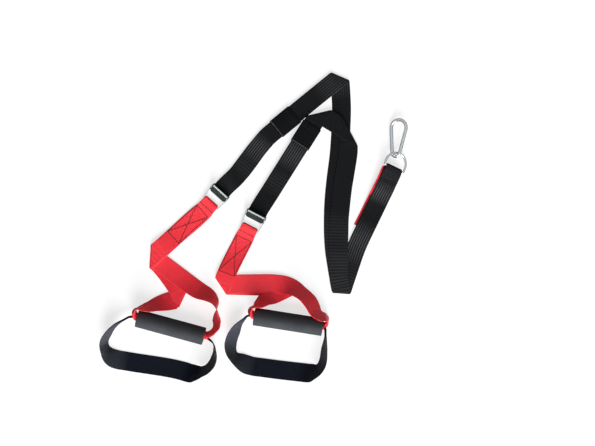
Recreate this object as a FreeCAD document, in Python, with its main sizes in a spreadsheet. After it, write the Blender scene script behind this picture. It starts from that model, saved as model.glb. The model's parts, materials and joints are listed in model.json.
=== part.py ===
"""Suspension strap trainer: snap hook, D-ring, two long webbing straps with cam
buckles, and two webbing handles with foam grips and foot loops, lying flat.

Millimetres, +Z up.  The origin is the middle of the footprint, at floor level.
X runs to the right of the user and Y towards the anchor end.
"""
import FreeCAD, Part
import math
import os
import Sketcher

V = FreeCAD.Vector
UP = V(0, 0, 1)

doc = FreeCAD.newDocument("strap_trainer")

# ---------------------------------------------------------------- driving sizes
SIZES = [
    ("webbing_width", 38.0, "all webbing, flat"),
    ("webbing_thick", 1.6, "one layer of webbing"),
    ("layer_pitch", 1.8, "height from one stacked layer to the next"),
    ("soft_gap", 0.3, "clearance round a bar or sleeve"),
    ("ring_wire", 4.4, "D-ring wire diameter"),
    ("ring_inside", 40.0, "D-ring inside width"),
    ("hook_wire", 7.0, "snap hook wire diameter"),
    ("hook_length", 80.0, "snap hook overall length"),
    ("hook_width", 40.0, "snap hook overall width"),
    ("hook_throat", 10.5, "inside width of the narrow bend of the hook"),
    ("grip_length", 138.0, "foam grip length"),
    ("grip_foam", 36.0, "foam grip diameter"),
    ("core_outside", 26.0, "grip tube outside diameter"),
    ("core_bore", 22.0, "grip tube bore"),
    ("bar_wire", 4.0, "buckle cross bar diameter"),
    ("bar_height", 4.2, "height of the cross bar's axis"),
    ("pin_wire", 3.0, "cam pivot pin diameter"),
    ("pin_height", 10.8, "height of the cam pin's axis"),
    ("pin_reach", 25.0, "cross bar axis to cam pin axis"),
    ("frame_inside", 38.8, "inside width of the buckle frame"),
    ("frame_sheet", 2.0, "thickness of the frame's side plates"),
    ("base_sheet", 1.8, "thickness of the frame's base plate"),
    ("sleeve_length_left", 48.0, "left keeper sleeve"),
    ("sleeve_length_right", 48.0, "right keeper sleeve"),
    ("sleeve_wall", 1.4, "keeper sleeve wall"),
]
sheet = doc.addObject("Spreadsheet::Sheet", "Sizes")
for row, (alias, value, note) in enumerate(SIZES, start=1):
    sheet.set("A%d" % row, alias)
    sheet.set("B%d" % row, str(value))
    sheet.set("C%d" % row, note)
    sheet.setAlias("B%d" % row, alias)
doc.recompute()


def size(alias):
    """A driving size, read from the sheet."""
    return float(sheet.get(alias))


WIDTH = size("webbing_width")
THICK = size("webbing_thick")
PITCH = size("layer_pitch")
GAP = size("soft_gap")
FIRST = THICK / 2                      # middle of a layer that lies on the floor
TIGHT = PITCH / 2 + 0.15               # bend radius of the inner layer of a flat fold


# ---------------------------------------------------------------- webbing
def unit(vector):
    result = V(vector)
    result.normalize()
    return result


def turned(vector, axis, degrees):
    return FreeCAD.Rotation(axis, degrees).multVec(vector)


def plan_frame(tangent, roll):
    """Width direction and normal of a strap; a positive roll lifts its left edge."""
    left = unit(UP.cross(tangent))
    above = tangent.cross(left)
    roll = math.radians(roll)
    across = left * math.cos(roll) + above * math.sin(roll)
    return across, tangent.cross(across)


def filled(waypoint):
    """A waypoint is x, y, z and, where they are not plain, roll, width and curl."""
    plain = (0.0, 0.0, 0.0, 0.0, WIDTH, 0.0)
    return tuple(waypoint) + plain[len(waypoint):]


def run_stations(run):
    """Cross sections along one run of strap, a smooth line through its waypoints."""
    run = [filled(w) for w in run]
    places = [V(*w[:3]) for w in run]
    spans = [(b - a).Length for a, b in zip(places, places[1:])]
    slopes = [(b - a) * (1.0 / d) for a, b, d in zip(places, places[1:], spans)]
    tangents = [slopes[0]]
    for before, after, near, far in zip(slopes, slopes[1:], spans, spans[1:]):
        tangents.append((before * far + after * near) * (1.0 / (near + far)))
    tangents.append(slopes[-1])
    stations = []
    travelled = 0.0
    for k, span in enumerate(spans):
        turn = math.degrees(tangents[k].getAngle(tangents[k + 1]))
        change = [abs(b - a) for a, b in zip(run[k][3:], run[k + 1][3:])]
        steps = max(1, math.ceil(turn / 12.0), math.ceil(change[0] / 16.0),
                    math.ceil(change[2] / 60.0))
        for step in range(steps + (k == len(spans) - 1)):
            part = step / steps
            p2, p3 = part ** 2, part ** 3
            place = (places[k] * (2 * p3 - 3 * p2 + 1)
                     + tangents[k] * (span * (p3 - 2 * p2 + part))
                     + places[k + 1] * (3 * p2 - 2 * p3)
                     + tangents[k + 1] * (span * (p3 - p2)))
            slope = (places[k] * (6 * p2 - 6 * part)
                     + tangents[k] * (span * (3 * p2 - 4 * part + 1))
                     + places[k + 1] * (6 * part - 6 * p2)
                     + tangents[k + 1] * (span * (3 * p2 - 2 * part)))
            roll, width, curl = [a + (b - a) * part
                                 for a, b in zip(run[k][3:], run[k + 1][3:])]
            across, normal = plan_frame(unit(slope), roll)
            rests = THICK / 2 * max(1.0, WIDTH / width) + width / 2 * abs(math.sin(math.radians(roll)))
            if curl < 1 and place.z < rests:
                place.z = rests                    # an edge rests on the floor
            stations.append((travelled + span * part, place, across, normal, width, curl))
        travelled += span
    return stations, unit(slopes[0]), unit(slopes[-1]), travelled


def strap_stations(route):
    """All cross sections of a strap.  The route is run, fold, run, fold, run: a fold is
    (side, radius), side 1 folding the strap up over itself and -1 down under itself."""
    face = 1.0
    stations = []
    start = None
    runs = route[0::2]
    folds = route[1::2]
    trim = 0.0
    for number, run in enumerate(runs):
        run = list(run)
        if start is not None:
            run.insert(0, (start.x, start.y, start.z) + filled(run[0])[3:])
        sections, first_slope, last_slope, length = run_stations(run)
        stop = length
        fold = folds[number] if number < len(folds) else None
        if fold:
            side, radius = fold
            end, across, normal, width = sections[-1][1:5]
            above = normal
            start = end + above * (2 * side * radius)
            ahead = V(*runs[number + 1][0][:3]) - start
            ahead = unit(ahead - above * ahead.dot(above))
            turn = math.degrees(math.atan2(last_slope.cross(ahead).dot(above),
                                           last_slope.dot(ahead)))
            crease = turned(last_slope, above, turn / 2)
            forward = unit(last_slope - crease * last_slope.dot(crease))
            reach = width / math.sin(math.radians(abs(turn) / 2))
            margin = width / 2 / math.tan(math.radians(abs(turn) / 2)) + 1.0
            stop = length - margin
            if crease.dot(across * face) < 0:
                crease = crease * -1
        for travelled, place, across, normal, width, curl in sections:
            if (trim == 0 or travelled > trim) and (not fold or travelled < stop):
                stations.append((place, across * face, normal * face, width, curl))
        if fold:
            steps = max(5, math.ceil(4 + radius))
            for step in range(steps + 1):
                angle = math.pi * step / steps
                place = (end + forward * (radius * math.sin(angle))
                         + above * (side * radius * (1 - math.cos(angle))))
                normal = above * math.cos(angle) - forward * (side * math.sin(angle))
                stations.append((place, crease, normal * face, reach, 0.0))
            face = -face
            trim = margin
    return stations


def section(station, pieces):
    """Closed outline of a strap's section; curl is the angle that it is rolled into."""
    place, across, normal, width, curl = station
    thick = THICK * WIDTH / width if width < WIDTH else THICK
    outline = []
    for side in (1, -1):
        row = []
        for k in range(pieces + 1):
            share = k / pieces - 0.5
            if abs(curl) < 1.0:
                point = place + across * (share * width) + normal * (side * thick / 2)
            else:
                angle = math.radians(curl)
                radius = width / angle
                lean = share * angle
                point = (place + across * ((radius - side * thick / 2) * math.sin(lean))
                         + normal * (radius - (radius - side * thick / 2) * math.cos(lean)))
            row.append(point)
        outline += row if side == 1 else row[::-1]
    return Part.makePolygon(outline + [outline[0]])


def strap_solid(route, pieces=1):
    return Part.makeLoft([section(s, pieces) for s in strap_stations(route)], True, True)


def add_strap(name, route, pieces=1):
    """A strap has no form that sketches give, so its node holds the lofted solid."""
    node = doc.addObject("Part::Feature", name)
    node.Label = name
    node.Shape = strap_solid(route, pieces)
    node.Placement = FreeCAD.Placement()
    return node


def along(start, heading, distance, height=0.0):
    """The place at a distance from start, level, in the direction of a heading."""
    angle = math.radians(heading)
    return V(start.x + distance * math.cos(angle), start.y + distance * math.sin(angle), height)


def xyz(place, *more):
    return (place.x, place.y, place.z) + more


# Anchor end: red backing below, then the straps, then the D-ring bar inside the left one
ANCHOR_HEADING = 64.2
ring_bar = V(277.2, 117.4, FIRST + 2 * PITCH)
ring_wrap = size("ring_wire") / 2 + GAP + THICK / 2

# ---------------------------------------------------------------- levels
# Layers of the anchor run, from the floor up: backing, backing, left strap (and the
# right strap beside the upper backing, which stops short of it)
LEFT_LEVEL = FIRST + 2 * PITCH
RIGHT_LEVEL = FIRST + PITCH
BASE_UNDER = THICK + GAP                       # underside of the buckle's base plate
BUCKLE_LEVEL = BASE_UNDER + size("base_sheet") + 0.1 + FIRST
TURN_RADIUS = (BUCKLE_LEVEL - FIRST) / 2       # tail turning round the base plate
HANDLE_LEVEL = FIRST + size("sleeve_wall") + GAP + PITCH     # left keeper on the floor
TOP_FOLD = (HANDLE_LEVEL - FIRST) / 2          # left strap's fold at the far end
OVER = TIGHT + 0.25                            # right strap's two folds at the junction

# ---------------------------------------------------------------- anchor end
RING_ROLL = 19.0
ROLL_RUN = 95.0                                # the twist dies away over this length


def anchor(distance, level, shift=0.0):
    """A waypoint of the anchor run: distance back from the ring bar, level of the
    layer above the floor, shift to the left.  The twist lifts the middle of it."""
    roll = RING_ROLL * max(0.0, 1 - distance / ROLL_RUN)
    place = along(ring_bar, ANCHOR_HEADING, -distance)
    place = along(place, ANCHOR_HEADING + 90, shift)
    place.z = level + (WIDTH / 2 + shift) * math.sin(math.radians(roll))
    return xyz(place, roll)


def away(distance, level, shift=0.0):
    """The same waypoint for a run that leads away from the ring."""
    x, y, z, roll = anchor(distance, level, shift)
    return (x, y, z, -roll)


# Straight stretch of the left handle strap, where its keeper slides
KEEPER_HEADING = 39.5
keeper_middle = V(64.2, 214.6, HANDLE_LEVEL)


def upper(distance, rise=0.0):
    """A waypoint on the keeper's stretch: distance from its middle towards the far end."""
    return xyz(along(keeper_middle, KEEPER_HEADING, distance, HANDLE_LEVEL + rise))


left_route = [
    [anchor(52, LEFT_LEVEL + PITCH), anchor(25, LEFT_LEVEL + PITCH),
     anchor(14, LEFT_LEVEL + 2 * ring_wrap - 2.2), anchor(5, LEFT_LEVEL + 2 * ring_wrap) + (37.0,),
     anchor(0, LEFT_LEVEL + 2 * ring_wrap) + (37.0,)],
    (-1, ring_wrap),
    [away(8, LEFT_LEVEL, 2.1) + (37.0,), away(32, LEFT_LEVEL), away(70, LEFT_LEVEL), away(105, LEFT_LEVEL),
     (217, -7, LEFT_LEVEL), (203.5, -36.5, RIGHT_LEVEL), (187, -83, RIGHT_LEVEL),
     (172, -128.5, RIGHT_LEVEL)],
    (1, TIGHT),
    [(162.6, -75, 4.8), (158.4, -47, 4.5), (156.2, -15, 2.1), (156, 20, FIRST),
     (157, 49, FIRST), (161, 93, FIRST), (167.4, 143.6, FIRST), (171, 195, FIRST),
     (172.3, 240, FIRST), (171, 270, FIRST), (169, 300, FIRST)],
    (1, TOP_FOLD),
    [upper(60), upper(-44), upper(-47), (12.5, 167.5, HANDLE_LEVEL), (-34.8, 106.3, BUCKLE_LEVEL), (-61.4, 80.2, BUCKLE_LEVEL), (-75.5, 64.6, BUCKLE_LEVEL)],
    (-1, TURN_RADIUS),
    [(-61.4, 80.2, FIRST), (-34.8, 106.3, HANDLE_LEVEL - PITCH),
     (-31.6, 110.5, HANDLE_LEVEL - PITCH), (12.5, 167.5, HANDLE_LEVEL - PITCH),
     upper(-47, -PITCH), upper(-44, -PITCH), upper(26, -PITCH)],
]
FOLDED = RIGHT_LEVEL + 4 * OVER                # right handle strap where it leaves the fold
FOLD_PLACE = V(127.9, 227.1, FOLDED)
SLOPE_FOOT = V(26.7, 66.2, BUCKLE_LEVEL + 0.5)


def lower(distance, rise=0.0):
    """A waypoint on the right handle strap's slope, at a distance up from its foot."""
    slope = FOLD_PLACE - SLOPE_FOOT
    return xyz(SLOPE_FOOT + slope * (distance / slope.Length) + V(0, 0, rise))


right_route = [
    [away(68, RIGHT_LEVEL), away(105, RIGHT_LEVEL), away(136, RIGHT_LEVEL),
     (203.5, -36.5, FIRST), (187, -83, FIRST), (172, -128.5, FIRST)],
    (1, TIGHT + PITCH),
    [(166.3, -96, 6.65), (165.9, -75, 6.6), (166.1, -47, 6.3), (167, -15, 3.9), (168, 20, RIGHT_LEVEL),
     (170.5, 45, RIGHT_LEVEL), (174.5, 80, RIGHT_LEVEL), (179.5, 110, RIGHT_LEVEL),
     (185, 145, RIGHT_LEVEL), (188, 191, RIGHT_LEVEL)],
    (1, OVER),
    [(155, 210.8, RIGHT_LEVEL + 2 * OVER), (127.9, 227.1, RIGHT_LEVEL + 2 * OVER)],
    (1, OVER),
    [lower(100), lower(0), (7.7, 36.1, BUCKLE_LEVEL), (-2.0, 17.5, BUCKLE_LEVEL)],
    (-1, TURN_RADIUS),
    [(7.7, 36.1, FIRST), lower(0, -PITCH), lower(6, -PITCH), lower(168, -PITCH)],
]
backing_route = [
    [anchor(65, RIGHT_LEVEL, 4), anchor(30, RIGHT_LEVEL, 4.5), anchor(4, RIGHT_LEVEL, 5)],
    (-1, PITCH / 2),
    [away(30, FIRST, 4.5), away(70, FIRST, 4.5), away(100, FIRST, 4.5), away(135, FIRST, 5)],
]

# ---------------------------------------------------------------- handles
AXLE_LEVEL = size("grip_foam") / 2 + 0.1
LINED = size("core_bore") / 2 - 0.5 - THICK / 2         # webbing curled against the bore
CURL = math.degrees(WIDTH / LINED)
BUNDLE = WIDTH / 3                                      # foot loop folded in three


class Grip:
    """Where a grip lies: its middle, and the heading of its axis."""

    def __init__(self, x, y, heading):
        self.middle = V(x, y, AXLE_LEVEL)
        self.heading = heading

    def at(self, forward, left, level, *more):
        place = along(along(self.middle, self.heading, forward), self.heading + 90, left)
        return (place.x, place.y, level) + more

    def curled(self, *places):
        return [self.at(forward, LINED, AXLE_LEVEL, 90, WIDTH, CURL) for forward in places]

    def bundled(self, *places):
        return [self.at(forward, 0, AXLE_LEVEL, -90, BUNDLE) for forward in places]


left_grip = Grip(-168.1, -198.4, -15.2)
right_grip = Grip(66.0, -187.5, -8.9)
BAR_LOOP = size("bar_wire") / 2 + GAP + THICK / 2
LOOP_LOW = size("bar_height") - BAR_LOOP
left_bar = V(-88.2, 50.5, size("bar_height"))
right_bar = V(-10.8, 0.6, size("bar_height"))
LEFT_BUCKLE_HEADING = 48.0
RIGHT_BUCKLE_HEADING = 62.5
LOOP_WIDTH = 34.0



def at_bar(bar, heading, side):
    """Waypoints of the loop round the cross bar: towards it below, away from it above."""
    loop = [xyz(along(bar, heading, -22, FIRST if side < 0 else 3.0), 0, 37.5),
            xyz(along(bar, heading, -11, 0.9 if side < 0 else 5.6), 0, 35.0),
            xyz(along(bar, heading, 0, LOOP_LOW), 0, LOOP_WIDTH)]
    return loop if side < 0 else loop[1::-1]


CORE_SPARE = 1.0                               # grip tube longer than its foam
mouth = (size("grip_length") + CORE_SPARE) / 2 + 1      # straps leave the tube here
left_red_route = [
    left_grip.curled(0.5, mouth - 5, mouth) + [
     left_grip.at(76.5, 13, 19.5, 96, WIDTH, 130), left_grip.at(83, 21.5, 21.5, 112, WIDTH, 36),
     left_grip.at(86.5, 32, 22.5, 124), (-77, -176, 22.5, 112), (-76.5, -164.4, 22, 96),
     (-80, -149, 20.3, 70), (-89.5, -138, 17, 50), (-115, -124, 10, 25),
     (-138, -108.5, 6.5, 13), (-155, -96, 4.5, 6), (-178, -79, 2.7), (-206.4, -58.5, RIGHT_LEVEL)],
    (1, 1.3),
    [(-183, -37.5, 4.6), (-160, -16.5, 1.2)] + at_bar(left_bar, LEFT_BUCKLE_HEADING, -1),
    (1, BAR_LOOP),
    at_bar(left_bar, LEFT_BUCKLE_HEADING, 1) + [(-112, 26.8, RIGHT_LEVEL),
     (-160, -16.5, 3.1), (-183, -37.5, 6.95), (-206.4, -57.6, 7.0)],
    (-1, 3.1),
    [(-182, -84.8, FIRST), (-168, -103, 2.6), (-157, -121, 5.6, 0, 36),
     (-147, -141.5, 5.8, 0, 34)],
    (-1, 2.4),
    [left_grip.at(-20, 47, 8.5, 20), left_grip.at(-38, 37, 14.5, 42),
     left_grip.at(-54, 27, 18.5, 60), left_grip.at(-64, 23, 20.2, 72),
     left_grip.at(-71, 20.5, 20.4, 82), left_grip.at(-75.2, 14.8, 20, 90, WIDTH, 20),
     ] + left_grip.curled(-mouth, 5 - mouth, -0.5),
]
right_red_route = [
    right_grip.curled(0.5, mouth - 5, mouth) + [
     right_grip.at(74.3, 11, 19, 90, WIDTH, 40), right_grip.at(76.6, 15.5, 20.2, 88, WIDTH, 12),
     right_grip.at(71.5, 21, 22.5, 72),
     (126.4, -175.5, 24.5, 54), (111, -149, 22, 42), (90.5, -128.5, 18, 50), (64, -116, 9.5, 20),
     (45, -113, 6.3, 4), (0, -112.3, 4.6), (-35, -113, 2.9), (-66, -114.3, RIGHT_LEVEL)],
    (1, 1.3),
    [(-55, -87, 4.6), (-45, -66, 1.2)] + at_bar(right_bar, RIGHT_BUCKLE_HEADING, -1),
    (1, BAR_LOOP),
    at_bar(right_bar, RIGHT_BUCKLE_HEADING, 1) + [(-23, -23, RIGHT_LEVEL),
     (-45, -66, 3.1), (-55, -87, 6.95), (-66, -115, 7.0)],
    (-1, 3.1),
    [(-20, -116.5, FIRST), (69, -118, FIRST)],
    (1, TIGHT),
    [(42, -131.5, 7, 10), (22, -142, 13.5, 38), (6, -153.5, 19, 64),
     right_grip.at(-71, 20.3, 20.4, 82), right_grip.at(-75, 14.6, 20, 90, WIDTH, 20),
     ] + right_grip.curled(-mouth, 5 - mouth, -0.5),
]
left_loop_route = [
    left_grip.bundled(-1, 5 - mouth, -mouth) + [
     left_grip.at(-80, 0.5, 18, -90, 13),
     (-261, -183.4, 18, -88, 16), (-277, -193.5, 18.2, -78, 24), (-292, -211, 19, -71, 34),
     (-300.6, -229, 18.9, -70), (-298, -243, 18.2, -64), (-290, -256, 13.4, -40),
     (-277, -263.5, 3.6, -8), (-262, -266.4, FIRST), (-140, -288.3, 0.9), (-131, -291, 4.4, -10),
     (-120, -290.5, 13.4, -40), (-107, -287, 17.8, -62), (-95, -280.8, 18.4, -66),
     (-86, -270.5, 18.6, -67), (-81.5, -258, 19, -71), (-80.5, -246, 18.6, -78, 34),
     (-83, -231, 18, -86, 26), left_grip.at(80, -3, 18, -90, 16),
     ] + left_grip.bundled(mouth, mouth - 5, 1),
]
right_loop_route = [
    right_grip.bundled(-1, 5 - mouth, -mouth) + [
     right_grip.at(-80, 0.5, 18, -90, 13),
     (-23, -183.5, 18, -78, 20), (-32, -193, 18.4, -66, 30), (-39.5, -205.5, 18, -57),
     (-46, -220, 17, -54), (-49, -233.5, 16.8, -53), (-48, -246, 17.4, -58),
     (-42.5, -257, 17.6, -62), (-34, -264.5, 15, -48), (-23, -271, 8, -22),
     (-8, -276.8, 1.5, -2), (13.5, -280, FIRST), (96.5, -290, 0.9), (105, -290.8, 4.8, -12),
     (114, -288.8, 12.6, -38), (122.5, -285, 17, -58), (130, -278, 18.2, -66),
     (135, -266, 18.6, -68), (137, -250, 18.9, -71), (138.3, -234, 18.6, -74, 36),
     (140, -219, 18, -84, 24), (139.8, -208.4, 18, -88, 15), right_grip.at(74, -1.5, 18, -90, 13),
     ] + right_grip.bundled(mouth, mouth - 5, 1),
]

# ---------------------------------------------------------------- solid modelling helpers
PLANES = {"XY": "XY_Plane", "XZ": "XZ_Plane", "YZ": "YZ_Plane"}


def new_body(name):
    body = doc.addObject("PartDesign::Body", name)
    body.Label = name
    return body


def sketch_on(body, plane, lift, loops):
    """A sketch of closed loops on an origin plane of the body.  A loop is a list of
    corners, or (x, y, radius) for a circle."""
    sketch = body.newObject("Sketcher::SketchObject", "Sketch")
    face = next(f for f in body.Origin.OriginFeatures if f.Role == PLANES[plane])
    sketch.AttachmentSupport = [(face, "")]
    sketch.MapMode = "FlatFace"
    sketch.AttachmentOffset = FreeCAD.Placement(V(0, 0, lift), FreeCAD.Rotation())
    for loop in loops:
        if isinstance(loop, tuple):
            x, y, radius = loop
            sketch.addGeometry(Part.Circle(V(x, y, 0), UP, radius), False)
            continue
        corners = [V(x, y, 0) for x, y in loop]
        first = sketch.GeometryCount
        for start, end in zip(corners, corners[1:] + corners[:1]):
            sketch.addGeometry(Part.LineSegment(start, end), False)
        for k in range(len(corners)):
            sketch.addConstraint(Sketcher.Constraint(
                "Coincident", first + k, 2, first + (k + 1) % len(corners), 1))
    return sketch


def pad(body, plane, lift, loops, length, both=False, back=False):
    feature = body.newObject("PartDesign::Pad", "Pad")
    feature.Profile = sketch_on(body, plane, lift, loops)
    feature.Length = length
    feature.Midplane = both
    feature.Reversed = back
    body.Tip = feature
    return feature


def pocket(body, plane, lift, loops, length, both=False):
    """A pocket; its direction is turned round if it misses the material."""
    before = body.Shape.Volume
    feature = body.newObject("PartDesign::Pocket", "Pocket")
    feature.Profile = sketch_on(body, plane, lift, loops)
    feature.Length = length
    feature.Midplane = both
    body.Tip = feature
    doc.recompute()
    if not feature.Shape.isNull() and abs(feature.Shape.Volume - before) < 0.01:
        feature.Reversed = True
        doc.recompute()
    return feature


def box_loop(x0, y0, x1, y1):
    return [(x0, y0), (x1, y0), (x1, y1), (x0, y1)]


def mirrored(loop):
    return [(x, -y) for x, y in loop][::-1]


def placed(place, heading, roll=0.0, pitch=0.0):
    """Placement with the local X axis on a heading; pitch lifts +X, roll lifts +Y."""
    turn = (FreeCAD.Rotation(UP, heading) * FreeCAD.Rotation(V(0, 1, 0), -pitch)
            * FreeCAD.Rotation(V(1, 0, 0), roll))
    return FreeCAD.Placement(V(place.x, place.y, place.z), turn)


def coil(radius, wire, pitch, turns, legs=()):
    """A spring along +Z: six-sided wire lofted round a helix in steps of 30 degrees, with
    straight legs (angle, length, height)."""
    sections = []
    for step in range(12 * turns + 1):
        lean = math.radians(30 * step)
        out = V(math.cos(lean), math.sin(lean), 0)
        way = unit(V(-out.y, out.x, pitch / (2 * math.pi * radius)))
        middle = out * radius + V(0, 0, pitch * step / 12)
        ring = [middle + turned(out, way, 60 * corner) * (wire / 2) for corner in range(6)]
        sections.append(Part.makePolygon(ring + [ring[0]]))
    solid = Part.makeLoft(sections, True, True)
    for angle, length, height in legs:
        foot = V(radius * math.cos(math.radians(angle)), radius * math.sin(math.radians(angle)), height)
        out = turned(unit(V(foot.x, foot.y, 0)), UP, 90)
        solid = solid.fuse(Part.makeCylinder(wire / 2, length, foot, out))
    return solid


def add_solid(name, solid, placement):
    """Springs: a helix is beyond sketches, so the node holds the lofted solid."""
    node = doc.addObject("Part::Feature", name)
    node.Label = name
    node.Shape = solid
    node.Placement = placement
    return node


# ---------------------------------------------------------------- straps and keepers
add_strap("anchor_backing", backing_route)
add_strap("left_long_strap", left_route)
add_strap("right_long_strap", right_route)
add_strap("left_red_strap", left_red_route, 8)
add_strap("right_red_strap", right_red_route, 8)
add_strap("left_foot_loop", left_loop_route)
add_strap("right_foot_loop", right_loop_route)


def add_keeper(name, length_alias, placement):
    """A webbing sleeve round the two layers; local Z = 0 is the middle of the stack."""
    wall = size("sleeve_wall")
    half = WIDTH / 2 + GAP
    tall = PITCH / 2 + THICK / 2 + GAP
    body = new_body(name)
    long_pad = pad(body, "YZ", 0, [box_loop(-half - wall, -tall - wall, half + wall, tall + wall),
                                   box_loop(-half, -tall, half, tall)], size(length_alias), both=True)
    long_pad.setExpression("Length", "Sizes." + length_alias)
    body.Placement = placement
    return body


left_stack = along(keeper_middle, KEEPER_HEADING, -5, HANDLE_LEVEL - PITCH / 2)
add_keeper("left_keeper", "sleeve_length_left", placed(left_stack, KEEPER_HEADING))
right_slope = FOLD_PLACE - SLOPE_FOOT
right_stack = (SLOPE_FOOT + right_slope * ((right_slope.Length - 26.5 - size("sleeve_length_right") / 2)
                                           / right_slope.Length) - V(0, 0, PITCH / 2))
SLOPE_HEADING = math.degrees(math.atan2(right_slope.y, right_slope.x))
SLOPE_PITCH = math.degrees(math.asin(right_slope.z / right_slope.Length))
add_keeper("right_keeper", "sleeve_length_right",
           placed(right_stack, SLOPE_HEADING, 0, SLOPE_PITCH))

# ---------------------------------------------------------------- grips
for side, grip in (("left", left_grip), ("right", right_grip)):
    lie = placed(grip.middle, grip.heading)
    for part, spare, outer, inner in (
            ("foam", 0.0, size("grip_foam") / 2, size("core_outside") / 2),
            ("core", CORE_SPARE, size("core_outside") / 2, size("core_bore") / 2)):
        tube = new_body(side + "_grip_" + part)
        ring = pad(tube, "YZ", 0, [(0, 0, outer), (0, 0, inner)], size("grip_length") + spare,
                   both=True)
        ring.setExpression("Length", "Sizes.grip_length + %g" % spare)
        tube.Placement = lie

# ---------------------------------------------------------------- cam buckles
BAR_R = size("bar_wire") / 2
BAR_Z = size("bar_height")
PIN_R = size("pin_wire") / 2
PIN_Z = size("pin_height")
REACH = size("pin_reach")
INSIDE = size("frame_inside") / 2
OUTSIDE = INSIDE + size("frame_sheet")
BASE_TOP = BASE_UNDER + size("base_sheet")
CHEEK_R = 3.1                                  # round of the side plates about the pin
PLATE_UNDER = PIN_Z + CHEEK_R + 0.2            # underside of the cam's lever plate
PLATE_TOP = PLATE_UNDER + 2.0


def add_frame(name, placement):
    """Base plate, side plates and the open bridge with the cross bar."""
    body = new_body(name)
    pad(body, "XY", BASE_UNDER, [box_loop(REACH - 6, -OUTSIDE, REACH + 8, OUTSIDE)],
        size("base_sheet"))
    arm = [(-2.6, LOOP_WIDTH / 2 + 0.5), (1.5, LOOP_WIDTH / 2 + 0.5), (REACH - 7, INSIDE),
           (REACH - 5, INSIDE), (REACH - 5, OUTSIDE), (REACH - 8, OUTSIDE),
           (-1.6, LOOP_WIDTH / 2 + 2.5), (-2.6, LOOP_WIDTH / 2 + 1.8)]
    for half in (arm, mirrored(arm)):
        pad(body, "XY", BASE_UNDER, [half], BAR_Z + BAR_R + 0.4 - BASE_UNDER)
    round_top = [(REACH + CHEEK_R * math.cos(math.radians(a)), PIN_Z + CHEEK_R * math.sin(math.radians(a)))
                 for a in range(50, 171, 20)]
    cheek = [(REACH - 7, BASE_UNDER), (REACH + 8, BASE_UNDER), (REACH + 8, BASE_TOP + 0.6)]
    cheek += round_top + [(REACH - 7, BAR_Z + BAR_R + 0.4)]
    pad(body, "XZ", INSIDE, [cheek], size("frame_sheet"))
    pad(body, "XZ", -INSIDE, [cheek], size("frame_sheet"), back=True)
    pad(body, "XZ", 0, [(0, BAR_Z, BAR_R)], LOOP_WIDTH + 2, both=True)
    doc.recompute()
    pocket(body, "XZ", 0, [(REACH, PIN_Z, PIN_R + 0.05)], 2 * OUTSIDE + 4, both=True)
    body.Placement = placement


def add_cam(name, placement):
    """Toothed eccentric cam with a ribbed lever plate above it."""
    body = new_body(name)
    lobe = [(REACH - 5.5, PLATE_UNDER + 0.4), (REACH - 4.6, PIN_Z)]
    for tooth in range(6):
        angle = -138 + 16 * tooth
        radius = 5.9 - 0.021 * max(0, angle + 120)
        for step, depth in ((0, 0.0), (8, 0.7)):
            lean = math.radians(angle + step)
            lobe.append((REACH + (radius - depth) * math.cos(lean),
                         PIN_Z + (radius - depth) * math.sin(lean)))
    lobe += [(REACH + 4.2, PIN_Z - 0.5), (REACH + 4.6, PLATE_UNDER + 0.4)]
    pad(body, "XZ", 0, [lobe], 31.0, both=True)
    near, far = REACH - 8.6, REACH + 5.5
    pad(body, "XY", PLATE_UNDER, [[(near, -15.5), (far - 3, -20.3), (far, -20.3), (far, 20.3),
                                   (far - 3, 20.3), (near, 15.5)]], PLATE_TOP - PLATE_UNDER)
    ribs = [box_loop(x, -14.4, x + 1.1, 14.4) for x in (near + 1.2, near + 3.6, near + 6.0)]
    for rib in ribs:
        pad(body, "XY", PLATE_TOP, [rib], 0.6)
    pad(body, "XY", PLATE_TOP, [box_loop(far - 3.6, -18.6, far - 0.8, 18.6)], 1.1)
    doc.recompute()
    pocket(body, "XZ", 0, [(REACH, PIN_Z, PIN_R + 0.05)], 60, both=True)
    body.Placement = placement


def add_pin(name, radius, half, head, head_thick, placement):
    """A pin along the local Y axis with a head on each end."""
    body = new_body(name)
    pad(body, "XZ", 0, [(0, 0, radius)], 2 * half, both=True)
    if head:
        pad(body, "XZ", half, [(0, 0, head)], head_thick)
        pad(body, "XZ", -half, [(0, 0, head)], head_thick, back=True)
    body.Placement = placement


for side, bar, heading in (("left", left_bar, LEFT_BUCKLE_HEADING),
                           ("right", right_bar, RIGHT_BUCKLE_HEADING)):
    lie = placed(V(bar.x, bar.y, 0), heading)
    add_frame(side + "_buckle_frame", lie)
    add_cam(side + "_buckle_cam", lie)
    pin_place = lie.multiply(FreeCAD.Placement(V(REACH, 0, PIN_Z), FreeCAD.Rotation()))
    add_pin(side + "_buckle_pin", PIN_R, OUTSIDE + 0.05, PIN_R + 1.0, 0.8, pin_place)
    sideways = FreeCAD.Placement(V(REACH, 15.95, PIN_Z), FreeCAD.Rotation(V(1, 0, 0), -90))
    add_solid(side + "_buckle_spring", coil(2.35, 0.7, 0.85, 3, [(90, 1.6, 0.0), (-90, 1.6, 2.55)]),
              lie.multiply(sideways))

# ---------------------------------------------------------------- D-ring
RING_R = size("ring_wire") / 2
RING_HALF = size("ring_inside") / 2 + RING_R
RING_STRAIGHT = 9.9                            # straight side before the round of the D
RING_PITCH = -9.0
ring_top = V(*anchor(0, LEFT_LEVEL + 2 * ring_wrap)[:3])
ring_way = along(V(0, 0, 0), ANCHOR_HEADING, 1)
ring_middle = ring_top - plan_frame(ring_way, RING_ROLL)[1] * ring_wrap


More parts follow.
